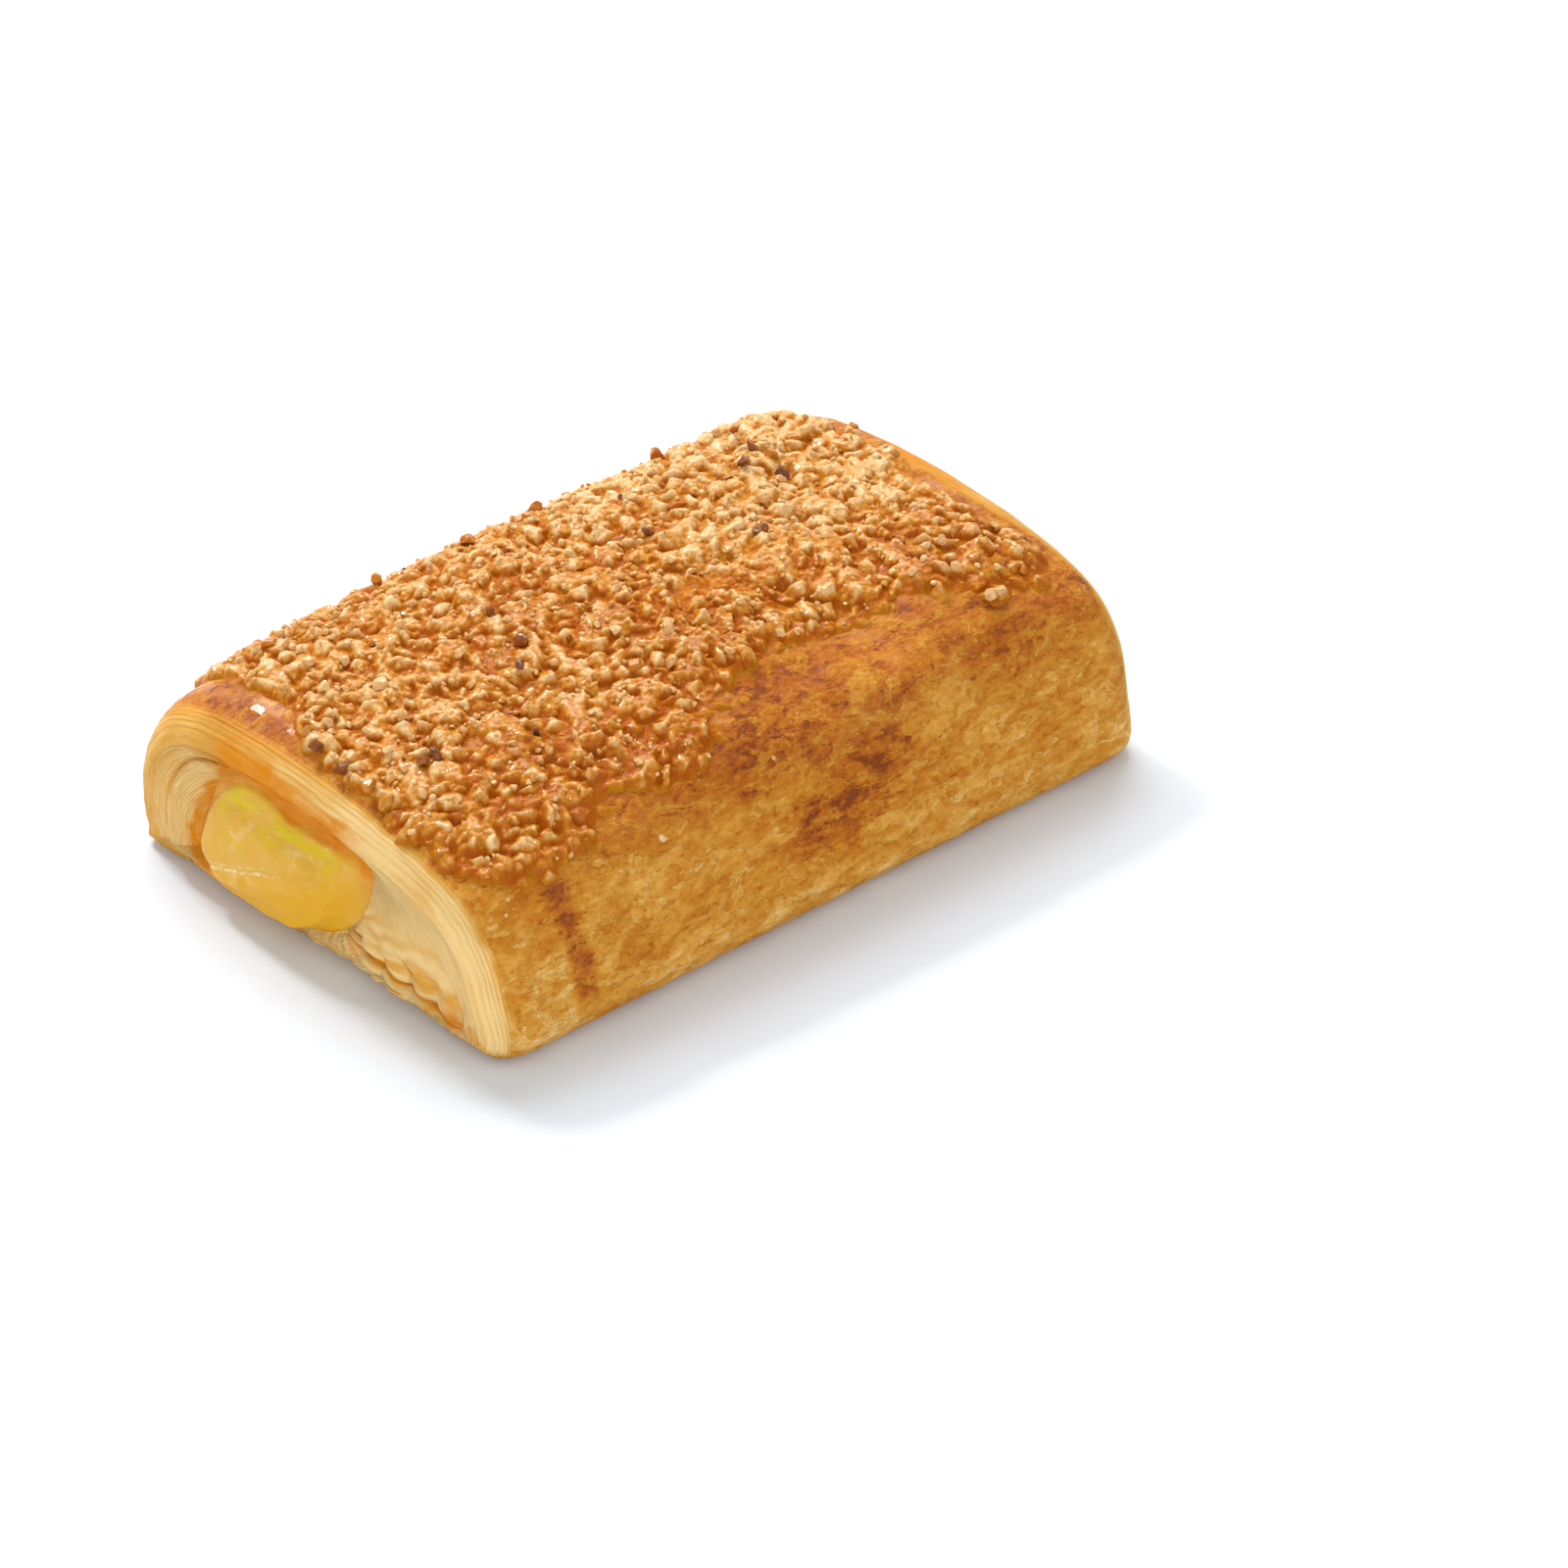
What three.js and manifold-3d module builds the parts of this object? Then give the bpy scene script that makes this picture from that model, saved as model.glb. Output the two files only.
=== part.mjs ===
// A baked napolitana: a flat parcel of laminated dough, folded round a bar of custard cream that bulges from both
// ends, with a crust of chopped nuts and sugar on top. Millimetres, +Z up, long side along X, front side at -Y.
// The origin is on the surface it rests on, under the middle of the whole pastry.
import * as THREE from "three";
import { mergeVertices } from "three/addons/utils/BufferGeometryUtils.js";
import Module from "manifold-3d";

// Driving dimensions.
const DOUGH_LENGTH = 134.5; // between the planes where the crust ends
const DOUGH_MIDDLE = -2.25; // the dough lies a little left, because the right-hand cream bulge is the longer one
const WIDTH = 90;
const HEIGHT = 32; // of the dough near its ends, without the topping
const CROWN = 3.9; // how much higher the middle of the length has risen
const RISE = 1.5; // how much higher the right end has risen than the middle, and the left end less
const SHOULDER = 7.2; // length over which the crust rounds off towards each end
const SHOULDER_DROP = 5.6; // how far the crust closes in over that length
const BACK_DROP = 0.75; // share of it by which the back closes in, because the back corners are the fuller ones
const FOOT_FLARE = { back: 2.8, front: -0.7 }; // how far the foot of each cut end reaches beyond its upper rim
const FOOT_ROUND = 6; // length over which the base curls up to the foot of each end
const FOOT_LIFT = { outer: 1.8, inner: 2.6 }; // how far the foot hangs clear of the base
const FOOT_NOTCH = { y: -27.5, wide: 1.6 }; // where the outer wrap's foot steps up to the pleats, at the front
const FOOT_STEP = { y: 33, wide: 4 }; // where it steps up to the inner roll, at the back

// The uneven rising of the top.
const SWELL = { broad: 0.7, length: 11, start: 0.8, width: 13, slanting: 0.5, slant: 0.8, pitch: 7.3 };
const TROUGH = { x: 8, slant: 0.45, halfWidth: 7, depth: 1.5 };
const SWELL_FROM = 0.75; // share of the section's height from which the swells show

// The cut ends: laminated layers run round them from the crust to the mouth that the cream fills.
const LAYERS = 5;
const LAYER_RELIEF = 0.4;
const LIP_HOLLOW = 4.8; // how far the layers lie back over the top of the cream
const LIP_HOLLOW_FROM = 6; // height at which they start to lie back
const ROLL_BULGE = 1.5; // how far the inner roll stands out at the back of each end
const ROLL_START = 0.36; // where it starts, as a share of the way from crust to mouth
const ROLL_GROOVE = { depth: 1.4, halfWidth: 0.06 }; // the groove outside it, its width as a share of the same way
const PLEAT_RELIEF = 0.8; // the pleated flakes under the front half of each end
const PLEAT_PITCH = 6.4;

// The cream bar, whose section is a flattened oval, low in the dough and behind the middle.
const CREAM_CENTRE = { y: 6.5, z: 13.3 };
const CREAM_HALF_WIDTH = 18.7;
const CREAM_SHEAR = 0.3; // how far the section leans back towards its foot, for each millimetre of height
const CREAM_HALF_HEIGHT = 10.2;
const CREAM_SQUARENESS = 2.5; // exponent of the oval: 2 is an ellipse
const CREAM_GAP = 0.3; // clearance between cream and dough
const BULGE_LEFT = { out: 3, lean: 4.1, crease: 0.7 }; // lean: how far the foot stands out
const BULGE_RIGHT = { out: 9.4, lean: 0.8, crease: 0 };
const CREASE = { z: 6.5, halfWidth: 1.6 }; // the fold line across the left bulge

// The topping.
const GRAIN_COUNT = 124;
const GRAIN_SMALL = 1.5; // half-length of a piece of nut
const GRAIN_LARGE = 2.9;
const GRAIN_BREADTH = { least: 0.6, more: 0.3 }; // its breadth as a share of its length
const GRAIN_FLATNESS = 0.6; // its height as a share of its length
const GRAIN_THICKENING = 0.15; // how much more than that at most
const GRAIN_SUNK = 0.3; // share of a piece that lies in the crust
const GRAIN_UNEVENNESS = 0.2; // how far its corners lie in or out, as a share of its size
// Where the topping is thin and where it is full, at each side.
const COVER = {
  left: { thin: -68, full: -56, slant: 0.12 },
  right: { thin: 66, full: 58 },
  front: { thin: -44, full: -30, wave: 4, pitch: 9 },
  back: { thin: 45, full: 40 },
};
const TOP_TURNS = { front: 0.26, back: 0.76 }; // the stretch of the section that carries it
const SEED = 20261;

const BODY_RINGS = 14;
const SHOULDER_RINGS = 4;
const FACE_RINGS = 2 * LAYERS; // a crest and a trough for each layer
const CREAM_AROUND = 48;
const CREAM_RINGS = 5;

// Outline of the section as shares of width and height, from the middle of the base to the front, over the top and
// back along the base. The front leans a little and the back is the fuller side.
const OUTLINE = [
  [0, 0],
  [-0.3, 0],
  [-0.455, 0],
  [-0.5, 0.1],
  [-0.487, 0.33],
  [-0.46, 0.6],
  [-0.4, 0.8],
  [-0.29, 0.92],
  [-0.14, 0.98],
  [0.02, 1],
  [0.18, 0.99],
  [0.32, 0.95],
  [0.42, 0.84],
  [0.482, 0.62],
  [0.5, 0.38],
  [0.485, 0.14],
  [0.455, 0],
  [0.3, 0],
];

// Facets round the section, between places given as OUTLINE indices: the pleated front of the base is the finest.
const FACETS = [
  { from: -2, to: 0.5, count: 7 },
  { from: 0.5, to: 2, count: 11 },
  { from: 2, to: OUTLINE.length - 2, count: 50 },
];

const clamp = (v, low, high) => Math.min(Math.max(v, low), high);
const smoothstep = (low, high, v) => {
  const t = clamp((v - low) / (high - low), 0, 1);
  return t * t * (3 - 2 * t);
};

// Small seeded generator, so that every build scatters the topping alike.
function seeded(seed) {
  let state = seed >>> 0;
  return () => {
    state = (state + 0x6d2b79f5) >>> 0;
    let t = state;
    t = Math.imul(t ^ (t >>> 15), t | 1);
    t ^= t + Math.imul(t ^ (t >>> 7), t | 61);
    return ((t ^ (t >>> 14)) >>> 0) / 4294967296;
  };
}

const sectionCurve = new THREE.CatmullRomCurve3(
  OUTLINE.map(([y, z]) => new THREE.Vector3(0, y, z)),
  true,
  "catmullrom",
  0.5,
);

// Point of the section at a turn of 0 to 1, as shares of width and height.
function outline(turn) {
  const p = sectionCurve.getPoint(((turn % 1) + 1) % 1);
  return { y: p.y, z: Math.max(p.z, 0) };
}

// Height of the risen dough's broad swells, and of the shallow trough that crosses the top slantwise.
function swell(x, y) {
  const broad = SWELL.broad * Math.sin(x / SWELL.length + SWELL.start) * Math.cos(y / SWELL.width);
  const slanting = SWELL.slanting * Math.sin((x - y * SWELL.slant) / SWELL.pitch);
  const across = (x - TROUGH.x + TROUGH.slant * y) / TROUGH.halfWidth;
  return broad + slanting - TROUGH.depth * Math.exp(-across * across);
}

// How far a cut end stands out at a place below its rim.
function flareAt(y, z) {
  const foot = THREE.MathUtils.lerp(FOOT_FLARE.back, FOOT_FLARE.front, smoothstep(20, -25, y));
  return foot * (1 - z / HEIGHT);
}

// 1 within the foot of the rolled dough, 0 under the outer wrap at both sides of it.
const innerFoot = (y) =>
  smoothstep(FOOT_NOTCH.y, FOOT_NOTCH.y + FOOT_NOTCH.wide, y) *
  smoothstep(FOOT_STEP.y, FOOT_STEP.y - FOOT_STEP.wide, y);

// Point of the crust: turn goes round the section, x along the pastry.
function crustPoint(turn, x) {
  const along = (x - DOUGH_MIDDLE) / (DOUGH_LENGTH / 2);
  const fromEnd = (1 - Math.abs(along)) * (DOUGH_LENGTH / 2);
  const share = clamp(1 - fromEnd / SHOULDER, 0, 1);
  const drop = SHOULDER_DROP * (1 - Math.sqrt(1 - share * share));
  const section = outline(turn);
  const tall = HEIGHT + CROWN * (1 - along * along) + RISE * along;
  const y = section.y * (WIDTH - 2 * drop * (section.y > 0 ? BACK_DROP : 1));
  const rise = smoothstep(SWELL_FROM, 1, section.z) * swell(x, y);
  const z = section.z * (tall - drop) + rise * (1 - share);
  const flare = flareAt(y, z) * smoothstep(2 * SHOULDER, 0, fromEnd);
  const curl = clamp(1 - fromEnd / FOOT_ROUND, 0, 1) ** 2;
  const lift = curl * THREE.MathUtils.lerp(FOOT_LIFT.outer, FOOT_LIFT.inner, innerFoot(y));
  return new THREE.Vector3(x + Math.sign(along) * flare, y, Math.max(z, lift));
}

// Half-extent of the cream's oval in a given direction, grown by a margin.
function creamEdge(angle, margin) {
  const c = Math.abs(Math.cos(angle)) / (CREAM_HALF_WIDTH + margin);
  const s = Math.abs(Math.sin(angle)) / (CREAM_HALF_HEIGHT + margin);
  return (c ** CREAM_SQUARENESS + s ** CREAM_SQUARENESS) ** (-1 / CREAM_SQUARENESS);
}

// Place in the leaning section, at a reach from its centre.
function creamOval(angle, reach) {
  const up = reach * Math.sin(angle);
  return {
    y: CREAM_CENTRE.y + reach * Math.cos(angle) - CREAM_SHEAR * up,
    z: CREAM_CENTRE.z + up,
  };
}

// Point of the mouth's edge that faces a point of the rim.
function mouthPoint(rim) {
  const angle = Math.atan2(
    (rim.z - CREAM_CENTRE.z) / CREAM_HALF_HEIGHT,
    (rim.y - CREAM_CENTRE.y) / CREAM_HALF_WIDTH,
  );
  const way = Math.atan2(Math.sin(angle) * CREAM_HALF_HEIGHT, Math.cos(angle) * CREAM_HALF_WIDTH);
  return creamOval(way, creamEdge(way, CREAM_GAP));
}

// Point of a cut end: inward goes from 0 at the crust to 1 at the mouth.
function endPoint(turn, inward, side) {
  const rim = crustPoint(turn, DOUGH_MIDDLE + (side * DOUGH_LENGTH) / 2);
  const mouth = mouthPoint(rim);
  const y = THREE.MathUtils.lerp(rim.y, mouth.y, inward);
  const z = THREE.MathUtils.lerp(rim.z, mouth.z, inward);
  const away = smoothstep(0, 0.1, inward) * smoothstep(1, 0.9, inward);
  const layers = -LAYER_RELIEF * Math.cos(2 * Math.PI * LAYERS * inward) * away;
  const back = smoothstep(12, 26, y);
  const intoRoll = (inward - ROLL_START) / (1 - ROLL_START);
  const roll = intoRoll > 0 ? ROLL_BULGE * Math.sqrt(intoRoll * (1 - intoRoll)) * 2 * back : 0;
  const groove = ROLL_GROOVE.depth * Math.exp(-(((inward - ROLL_START) / ROLL_GROOVE.halfWidth) ** 2)) * back;
  const frontFoot = smoothstep(-6, -16, y) * smoothstep(13, 8, z) * away;
  const pleats = PLEAT_RELIEF * Math.sin((2 * Math.PI * y) / PLEAT_PITCH) * frontFoot;
  const tall = CREAM_CENTRE.z + CREAM_HALF_HEIGHT - LIP_HOLLOW_FROM;
  const hollow =
    LIP_HOLLOW * clamp((z - LIP_HOLLOW_FROM) / tall, 0, 1) * smoothstep(0.1, 1, inward);
  const out = DOUGH_LENGTH / 2 + flareAt(y, z) + layers + pleats + roll - groove - hollow;
  return new THREE.Vector3(DOUGH_MIDDLE + side * out, y, z);
}

// Point of the cream's bulge: out goes from 0 at the mouth of the dough to 1 at the middle of the cap.
function bulgePoint(angle, out, side) {
  const bulge = side < 0 ? BULGE_LEFT : BULGE_RIGHT;
  const reach = creamEdge(angle, 0) * Math.cos((out * Math.PI) / 2);
  const { y, z } = creamOval(angle, reach);
  const low = (CREAM_CENTRE.z - z) / CREAM_HALF_HEIGHT;
  const puff = bulge.out * Math.sin((out * Math.PI) / 2);
  const crease = bulge.crease * Math.exp(-(((z - CREASE.z) / CREASE.halfWidth) ** 2)) * out;
  const stand = DOUGH_LENGTH / 2 + puff + bulge.lean * low + crease;
  return new THREE.Vector3(DOUGH_MIDDLE + side * stand, y, z);
}

// Triangles between rings of points, each ring with the same count, so that the faces point away from the middle.
function skin(rings, closed) {
  const count = rings[0].length;
  const index = [];
  for (let r = 0; r + (closed ? 0 : 1) < rings.length; r++) {
    const a = r * count;
    const b = ((r + 1) % rings.length) * count;
    for (let i = 0; i < count; i++) {
      const next = (i + 1) % count;
      index.push(a + i, b + next, a + next, a + i, b + i, b + next);
    }
  }
  return index;
}

function meshOf(points, index) {
  const geometry = new THREE.BufferGeometry().setFromPoints(points);
  geometry.setIndex(index);
  return geometry;
}

const spread = (count, from, to) =>
  Array.from({ length: count }, (_, i) => from + ((to - from) * (i + 1)) / (count + 1));

const turns = FACETS.flatMap(({ from, to, count }) =>
  Array.from({ length: count }, (_, i) => (from + ((to - from) * i) / count) / OUTLINE.length),
);
const ring = (at) => turns.map(at);

// The parcel of dough as one closed body: over the crust, in at the right mouth, back along the channel.
function doughGeometry() {
  const half = DOUGH_LENGTH / 2;
  const ease = (u) => 1 - Math.cos((u * Math.PI) / 2);
  const shoulders = [0, ...spread(SHOULDER_RINGS, 0, 1), 1].map((u) => half - SHOULDER * ease(u));
  const xs = [
    ...shoulders.map((d) => DOUGH_MIDDLE - d),
    ...spread(BODY_RINGS, DOUGH_MIDDLE - half + SHOULDER, DOUGH_MIDDLE + half - SHOULDER),
    ...shoulders.toReversed().map((d) => DOUGH_MIDDLE + d),
  ];
  const steps = Array.from({ length: FACE_RINGS }, (_, i) => (i + 1) / FACE_RINGS);
  const left = steps.toReversed().map((inward) => ring((t) => endPoint(t, inward, -1)));
  const right = steps.map((inward) => ring((t) => endPoint(t, inward, 1)));
  const rings = [...left, ...xs.map((x) => ring((t) => crustPoint(t, x))), ...right];
  return meshOf(rings.flat(), skin(rings, true));
}

// The cream bar: rings from the middle of the left cap to the middle of the right one.
function creamGeometry() {
  const outs = [0, ...spread(CREAM_RINGS, 0, 1)];
  const cap = (side, list) =>
    list.map((out) =>
      Array.from({ length: CREAM_AROUND }, (_, i) =>
        bulgePoint(Math.PI - (i / CREAM_AROUND) * 2 * Math.PI, out, side),
      ),
    );
  const rings = [...cap(-1, outs.toReversed()), ...cap(1, outs)];
  const points = [...rings.flat(), bulgePoint(0, 1, -1), bulgePoint(0, 1, 1)];
  const index = skin(rings, false);
  const lastRing = (rings.length - 1) * CREAM_AROUND;
  for (let i = 0; i < CREAM_AROUND; i++) {
    const next = (i + 1) % CREAM_AROUND;
    index.push(points.length - 2, i, next);
    index.push(points.length - 1, lastRing + next, lastRing + i);
  }
  return meshOf(points, index);
}

// One chopped piece of nut: an uneven icosahedron.
function grainGeometry(random, size) {
  const geometry = mergeVertices(bare(new THREE.IcosahedronGeometry(1, 0)), 1e-4);
  const at = geometry.getAttribute("position");
  for (let i = 0; i < at.count; i++) {
    const k = 1 + GRAIN_UNEVENNESS * (2 * random() - 1);
    at.setXYZ(i, at.getX(i) * k, at.getY(i) * k, at.getZ(i) * k);
  }
  const breadth = GRAIN_BREADTH.least + GRAIN_BREADTH.more * random();
  geometry.scale(size, size * breadth, size * (GRAIN_FLATNESS + GRAIN_THICKENING * random()));
  return geometry;
}

// How thickly the topping lies at a place: full over the top, thinning out down the front and towards the ends.
function toppingCover(x, y) {
  const { left, right, front, back } = COVER;
  const frontWay = y + front.wave * Math.sin(x / front.pitch);
  return (
    smoothstep(left.thin, left.full, x - left.slant * y) *
    smoothstep(right.thin, right.full, x) *
    smoothstep(front.thin, front.full, frontWay) *
    smoothstep(back.thin, back.full, y)
  );
}

function bare(geometry) {
  geometry.deleteAttribute("normal");
  geometry.deleteAttribute("uv");
  return geometry;
}

const wasm = await Module();
wasm.setup();

function solidOf(geometry) {
  const merged = mergeVertices(geometry, 1e-4);
  return new wasm.Manifold(
    new wasm.Mesh({
      numProp: 3,
      vertProperties: new Float32Array(merged.getAttribute("position").array),
      triVerts: new Uint32Array(merged.index.array),
    }),
  );
}

function geometryOf(solid) {
  const mesh = solid.getMesh();
  const geometry = new THREE.BufferGeometry();
  geometry.setAttribute("position", new THREE.BufferAttribute(mesh.vertProperties, 3));
  geometry.setIndex(new THREE.BufferAttribute(mesh.triVerts, 1));
  geometry.computeVertexNormals();
  return geometry;
}

// Direction straight out of the crust at a point of it.
function outward(turn, x) {
  const SMALL_TURN = 0.005;
  const SMALL_WAY = 0.5;
  const p = crustPoint(turn, x);
  const across = crustPoint(turn + SMALL_TURN, x).sub(p);
  const along = crustPoint(turn, x + SMALL_WAY).sub(p);
  const out = across.cross(along).normalize();
  return out.z < 0 ? out.negate() : out;
}

// Points that fill a square ever more evenly, from the plane's counterpart of the golden ratio.
function evenPoint(k) {
  const PLASTIC_NUMBER = 1.32471795724;
  return [(0.5 + k / PLASTIC_NUMBER) % 1, (0.5 + k / PLASTIC_NUMBER ** 2) % 1];
}

// The topping: pieces spread evenly over the top, the largest first.
function toppingSolids() {
  const random = seeded(SEED);
  const grains = [];
  for (let k = 0; grains.length < GRAIN_COUNT; k++) {
    const [u, v] = evenPoint(k);
    const turn = THREE.MathUtils.lerp(TOP_TURNS.front, TOP_TURNS.back, u);
    const x = DOUGH_MIDDLE + (v - 0.5) * DOUGH_LENGTH;
    const p = crustPoint(turn, x);
    if (random() > toppingCover(p.x, p.y)) continue;
    const out = outward(turn, x);
    const share = grains.length / GRAIN_COUNT;
    const size = GRAIN_LARGE + (GRAIN_SMALL - GRAIN_LARGE) * Math.sqrt(share);
    const turnToCrust = new THREE.Quaternion().setFromUnitVectors(new THREE.Vector3(0, 0, 1), out);
    const spin = new THREE.Quaternion().setFromAxisAngle(out, random() * 2 * Math.PI);
    const lift = size * GRAIN_FLATNESS * (1 - 2 * GRAIN_SUNK);
    const matrix = new THREE.Matrix4().compose(
      p.clone().addScaledVector(out, lift),
      spin.multiply(turnToCrust),
      new THREE.Vector3(1, 1, 1),
    );
    grains.push(solidOf(grainGeometry(random, size).applyMatrix4(matrix)));
  }
  return grains;
}

function doughMesh() {
  const whole = wasm.Manifold.union([solidOf(doughGeometry()), ...toppingSolids()]);
  const mesh = new THREE.Mesh(
    geometryOf(whole),
    new THREE.MeshStandardMaterial({ color: 0xc98a45, roughness: 0.55, metalness: 0 }),
  );
  mesh.name = "pastry_dough";
  return mesh;
}

function creamMesh() {
  const mesh = new THREE.Mesh(
    geometryOf(solidOf(creamGeometry())),
    new THREE.MeshStandardMaterial({ color: 0xe9bf4e, roughness: 0.35, metalness: 0 }),
  );
  mesh.name = "cream_filling";
  return mesh;
}

const pastry = new THREE.Group();
pastry.add(doughMesh(), creamMesh());

export default pastry;
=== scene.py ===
"""A baked napolitana: flaky dough folded round a bar of custard cream, under a crumble of nuts and sugar.

Shapes are worked out in millimetres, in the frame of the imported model, and written to meshes in metres."""

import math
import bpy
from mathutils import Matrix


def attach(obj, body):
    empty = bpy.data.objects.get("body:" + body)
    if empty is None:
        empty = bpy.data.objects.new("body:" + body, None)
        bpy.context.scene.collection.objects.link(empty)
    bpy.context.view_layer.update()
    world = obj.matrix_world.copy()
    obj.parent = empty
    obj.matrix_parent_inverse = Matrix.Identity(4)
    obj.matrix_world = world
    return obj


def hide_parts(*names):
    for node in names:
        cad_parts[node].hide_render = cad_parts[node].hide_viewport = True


bl_info = {
    "name": "Cream Napolitana",
    "version": (1, 0, 0),
    "blender": (4, 5, 0),
    "location": "View3D > Sidebar > Napolitana",
    "description": "Models a baked napolitana with its custard cream and its nut crumble",
    "category": "Add Mesh",
}

import bpy
import numpy as np
from bpy.props import FloatProperty, FloatVectorProperty, IntProperty, PointerProperty
from mathutils import Vector

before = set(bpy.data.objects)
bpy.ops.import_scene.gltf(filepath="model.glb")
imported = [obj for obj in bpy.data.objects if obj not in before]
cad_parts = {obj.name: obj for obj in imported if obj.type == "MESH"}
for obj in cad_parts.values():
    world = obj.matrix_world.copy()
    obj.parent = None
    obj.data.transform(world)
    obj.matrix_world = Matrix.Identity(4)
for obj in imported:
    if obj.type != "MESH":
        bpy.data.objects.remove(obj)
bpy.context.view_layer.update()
BODY = "root"
MM = 0.001
SEED = 20261

# The parcel of dough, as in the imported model.
DOUGH_LENGTH = 134.5
DOUGH_MIDDLE = -2.25
WIDTH = 90
HEIGHT = 32
CROWN = 3.9
RISE = 1.5
SHOULDER = 7.2
SHOULDER_DROP = 5.6
BACK_DROP = 0.75
FOOT_FLARE_BACK, FOOT_FLARE_FRONT = 2.8, -0.7
FOOT_ROUND = 6
FOOT_LIFT_OUTER, FOOT_LIFT_INNER = 1.8, 2.6
FOOT_NOTCH_Y, FOOT_NOTCH_WIDE = -27.5, 1.6
FOOT_STEP_Y, FOOT_STEP_WIDE = 33, 4
SWELL_FROM = 0.75
LIP_HOLLOW, LIP_HOLLOW_FROM = 4.2, 6
ROLL_BULGE, ROLL_START = 1.5, 0.36
ROLL_GROOVE, ROLL_GROOVE_WIDE = 0.5, 0.03
PLEAT_RELIEF, PLEAT_PITCH = 0.55, 5.6
PLEAT_FOLD, PLEAT_PAD = 0.65, 2.7  # how far the fine folds and the swelling that they lie on stand out
FAN_Y, FAN_Z = -7, 10  # the corner of the cream from which the fine folds fan out
FAN_WAVES = 19  # the wave of the folds, for a radian round that corner
LAYER_PITCH = 0.8  # thickness of a layer of dough that shows at a cut end
CUT_FROM, CUT_FROM_RIGHT = 3.6, 7.8  # how far before the ends the pale layers begin to show
# The cream bar.
CREAM_Y, CREAM_Z = 6.5, 13.3
CREAM_HALF_WIDTH, CREAM_HALF_HEIGHT = 18.7, 10.2
CREAM_SHEAR = 0.3
CREAM_SQUARENESS = 2.5
MOUTH_GROWN = -0.4  # the dough grips the cream a little
# Outline of the section as shares of width and height: from the middle of the base to the front, over the
# top and down the back.
OUTLINE = np.array(
    [
        (0, 0), (-0.3, 0), (-0.455, 0), (-0.5, 0.1), (-0.487, 0.33), (-0.46, 0.6),
        (-0.4, 0.8), (-0.29, 0.92), (-0.14, 0.98), (0.02, 1), (0.18, 0.99), (0.32, 0.95),
        (0.42, 0.84), (0.482, 0.62), (0.5, 0.38), (0.485, 0.14), (0.455, 0), (0.3, 0),
    ]
)

# Fineness of the crust's mesh: columns run round the section, rows along the pastry.
COLUMNS = 300
BASE_SHARE = 0.3  # how coarsely the underside is divided, compared with the rest
FACE_ROWS = 82
SHOULDER_ROWS = 12
BODY_ROWS = 124
MOUTH_DEPTHS = (0.4, 1.2, 3, 8)


# ---- numbers over arrays ----


def smooth(low, high, value):
    """0 below low, 1 above high, and a smooth step between; low may be the larger one."""
    t = np.clip((value - low) / (high - low), 0, 1)
    return t * t * (3 - 2 * t)


def mix(a, b, share):
    return a + (b - a) * share


def bump(value, middle, half_width):
    """1 at the middle, falling off as a bell."""
    return np.exp(-(((value - middle) / half_width) ** 2))


class Noise:
    """Smooth gradient noise of about -1 to 1, the same each time for one seed."""

    def __init__(self, seed):
        random = np.random.default_rng(seed)
        self.order = random.permutation(256)
        ways = random.normal(size=(256, 3))
        self.ways = ways / np.linalg.norm(ways, axis=1, keepdims=True)

    def one(self, points):
        cell = np.floor(points).astype(int)
        inside = points - cell
        weight = inside**3 * (inside * (inside * 6 - 15) + 10)
        total = np.zeros(points.shape[:-1])
        for corner in np.ndindex(2, 2, 2):
            at = cell + corner
            pick = self.order[at[..., 0] & 255]
            pick = self.order[(pick + at[..., 1]) & 255]
            pick = self.order[(pick + at[..., 2]) & 255]
            share = np.prod(np.where(corner, weight, 1 - weight), axis=-1)
            total += share * np.sum(self.ways[pick] * (inside - corner), axis=-1)
        return total * 1.7

    def __call__(self, points, size, octaves=1):
        """size is the width of a lump, in the points' unit, or one for each axis."""
        points = points / np.asarray(size, float)
        return sum(self.one(points * 2**k + 17.3 * k) / 2**k for k in range(octaves))


noise = Noise(SEED)


def spot(places, x, y, half_x, half_y):
    """A soft round patch seen from above."""
    return np.exp(-(((places[..., 0] - x) / half_x) ** 2) - ((places[..., 1] - y) / half_y) ** 2)


# ---- the form of the dough and the cream ----


def outline(turn):
    """Shares of width and height at a turn of 0 to 1 round the section, on a smooth curve through OUTLINE."""
    count = len(OUTLINE)
    step = np.mod(turn, 1) * count
    index = np.floor(step).astype(int)
    w = (step - index)[..., None]
    p0, p1, p2, p3 = (OUTLINE[(index + k) % count] for k in (-1, 0, 1, 2))
    m1, m2 = (p2 - p0) / 2, (p3 - p1) / 2
    point = (2 * p1 - 2 * p2 + m1 + m2) * w**3 + (3 * p2 - 3 * p1 - 2 * m1 - m2) * w**2 + m1 * w + p1
    return point[..., 0], np.maximum(point[..., 1], 0)


def swell(x, y):
    """Height of the broad swells of the risen dough, and of the trough that crosses the top slantwise."""
    broad = 0.7 * np.sin(x / 11 + 0.8) * np.cos(y / 13)
    slanting = 0.5 * np.sin((x - y * 0.8) / 7.3)
    return broad + slanting - 2.1 * bump(x - 8 + 0.45 * y, 0, 7)


def flare_at(y, z):
    foot = mix(FOOT_FLARE_BACK, FOOT_FLARE_FRONT, smooth(20, -25, y))
    return foot * (1 - z / HEIGHT)


def inner_foot(y):
    front = smooth(FOOT_NOTCH_Y, FOOT_NOTCH_Y + FOOT_NOTCH_WIDE, y)
    return front * smooth(FOOT_STEP_Y, FOOT_STEP_Y - FOOT_STEP_WIDE, y)


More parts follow.
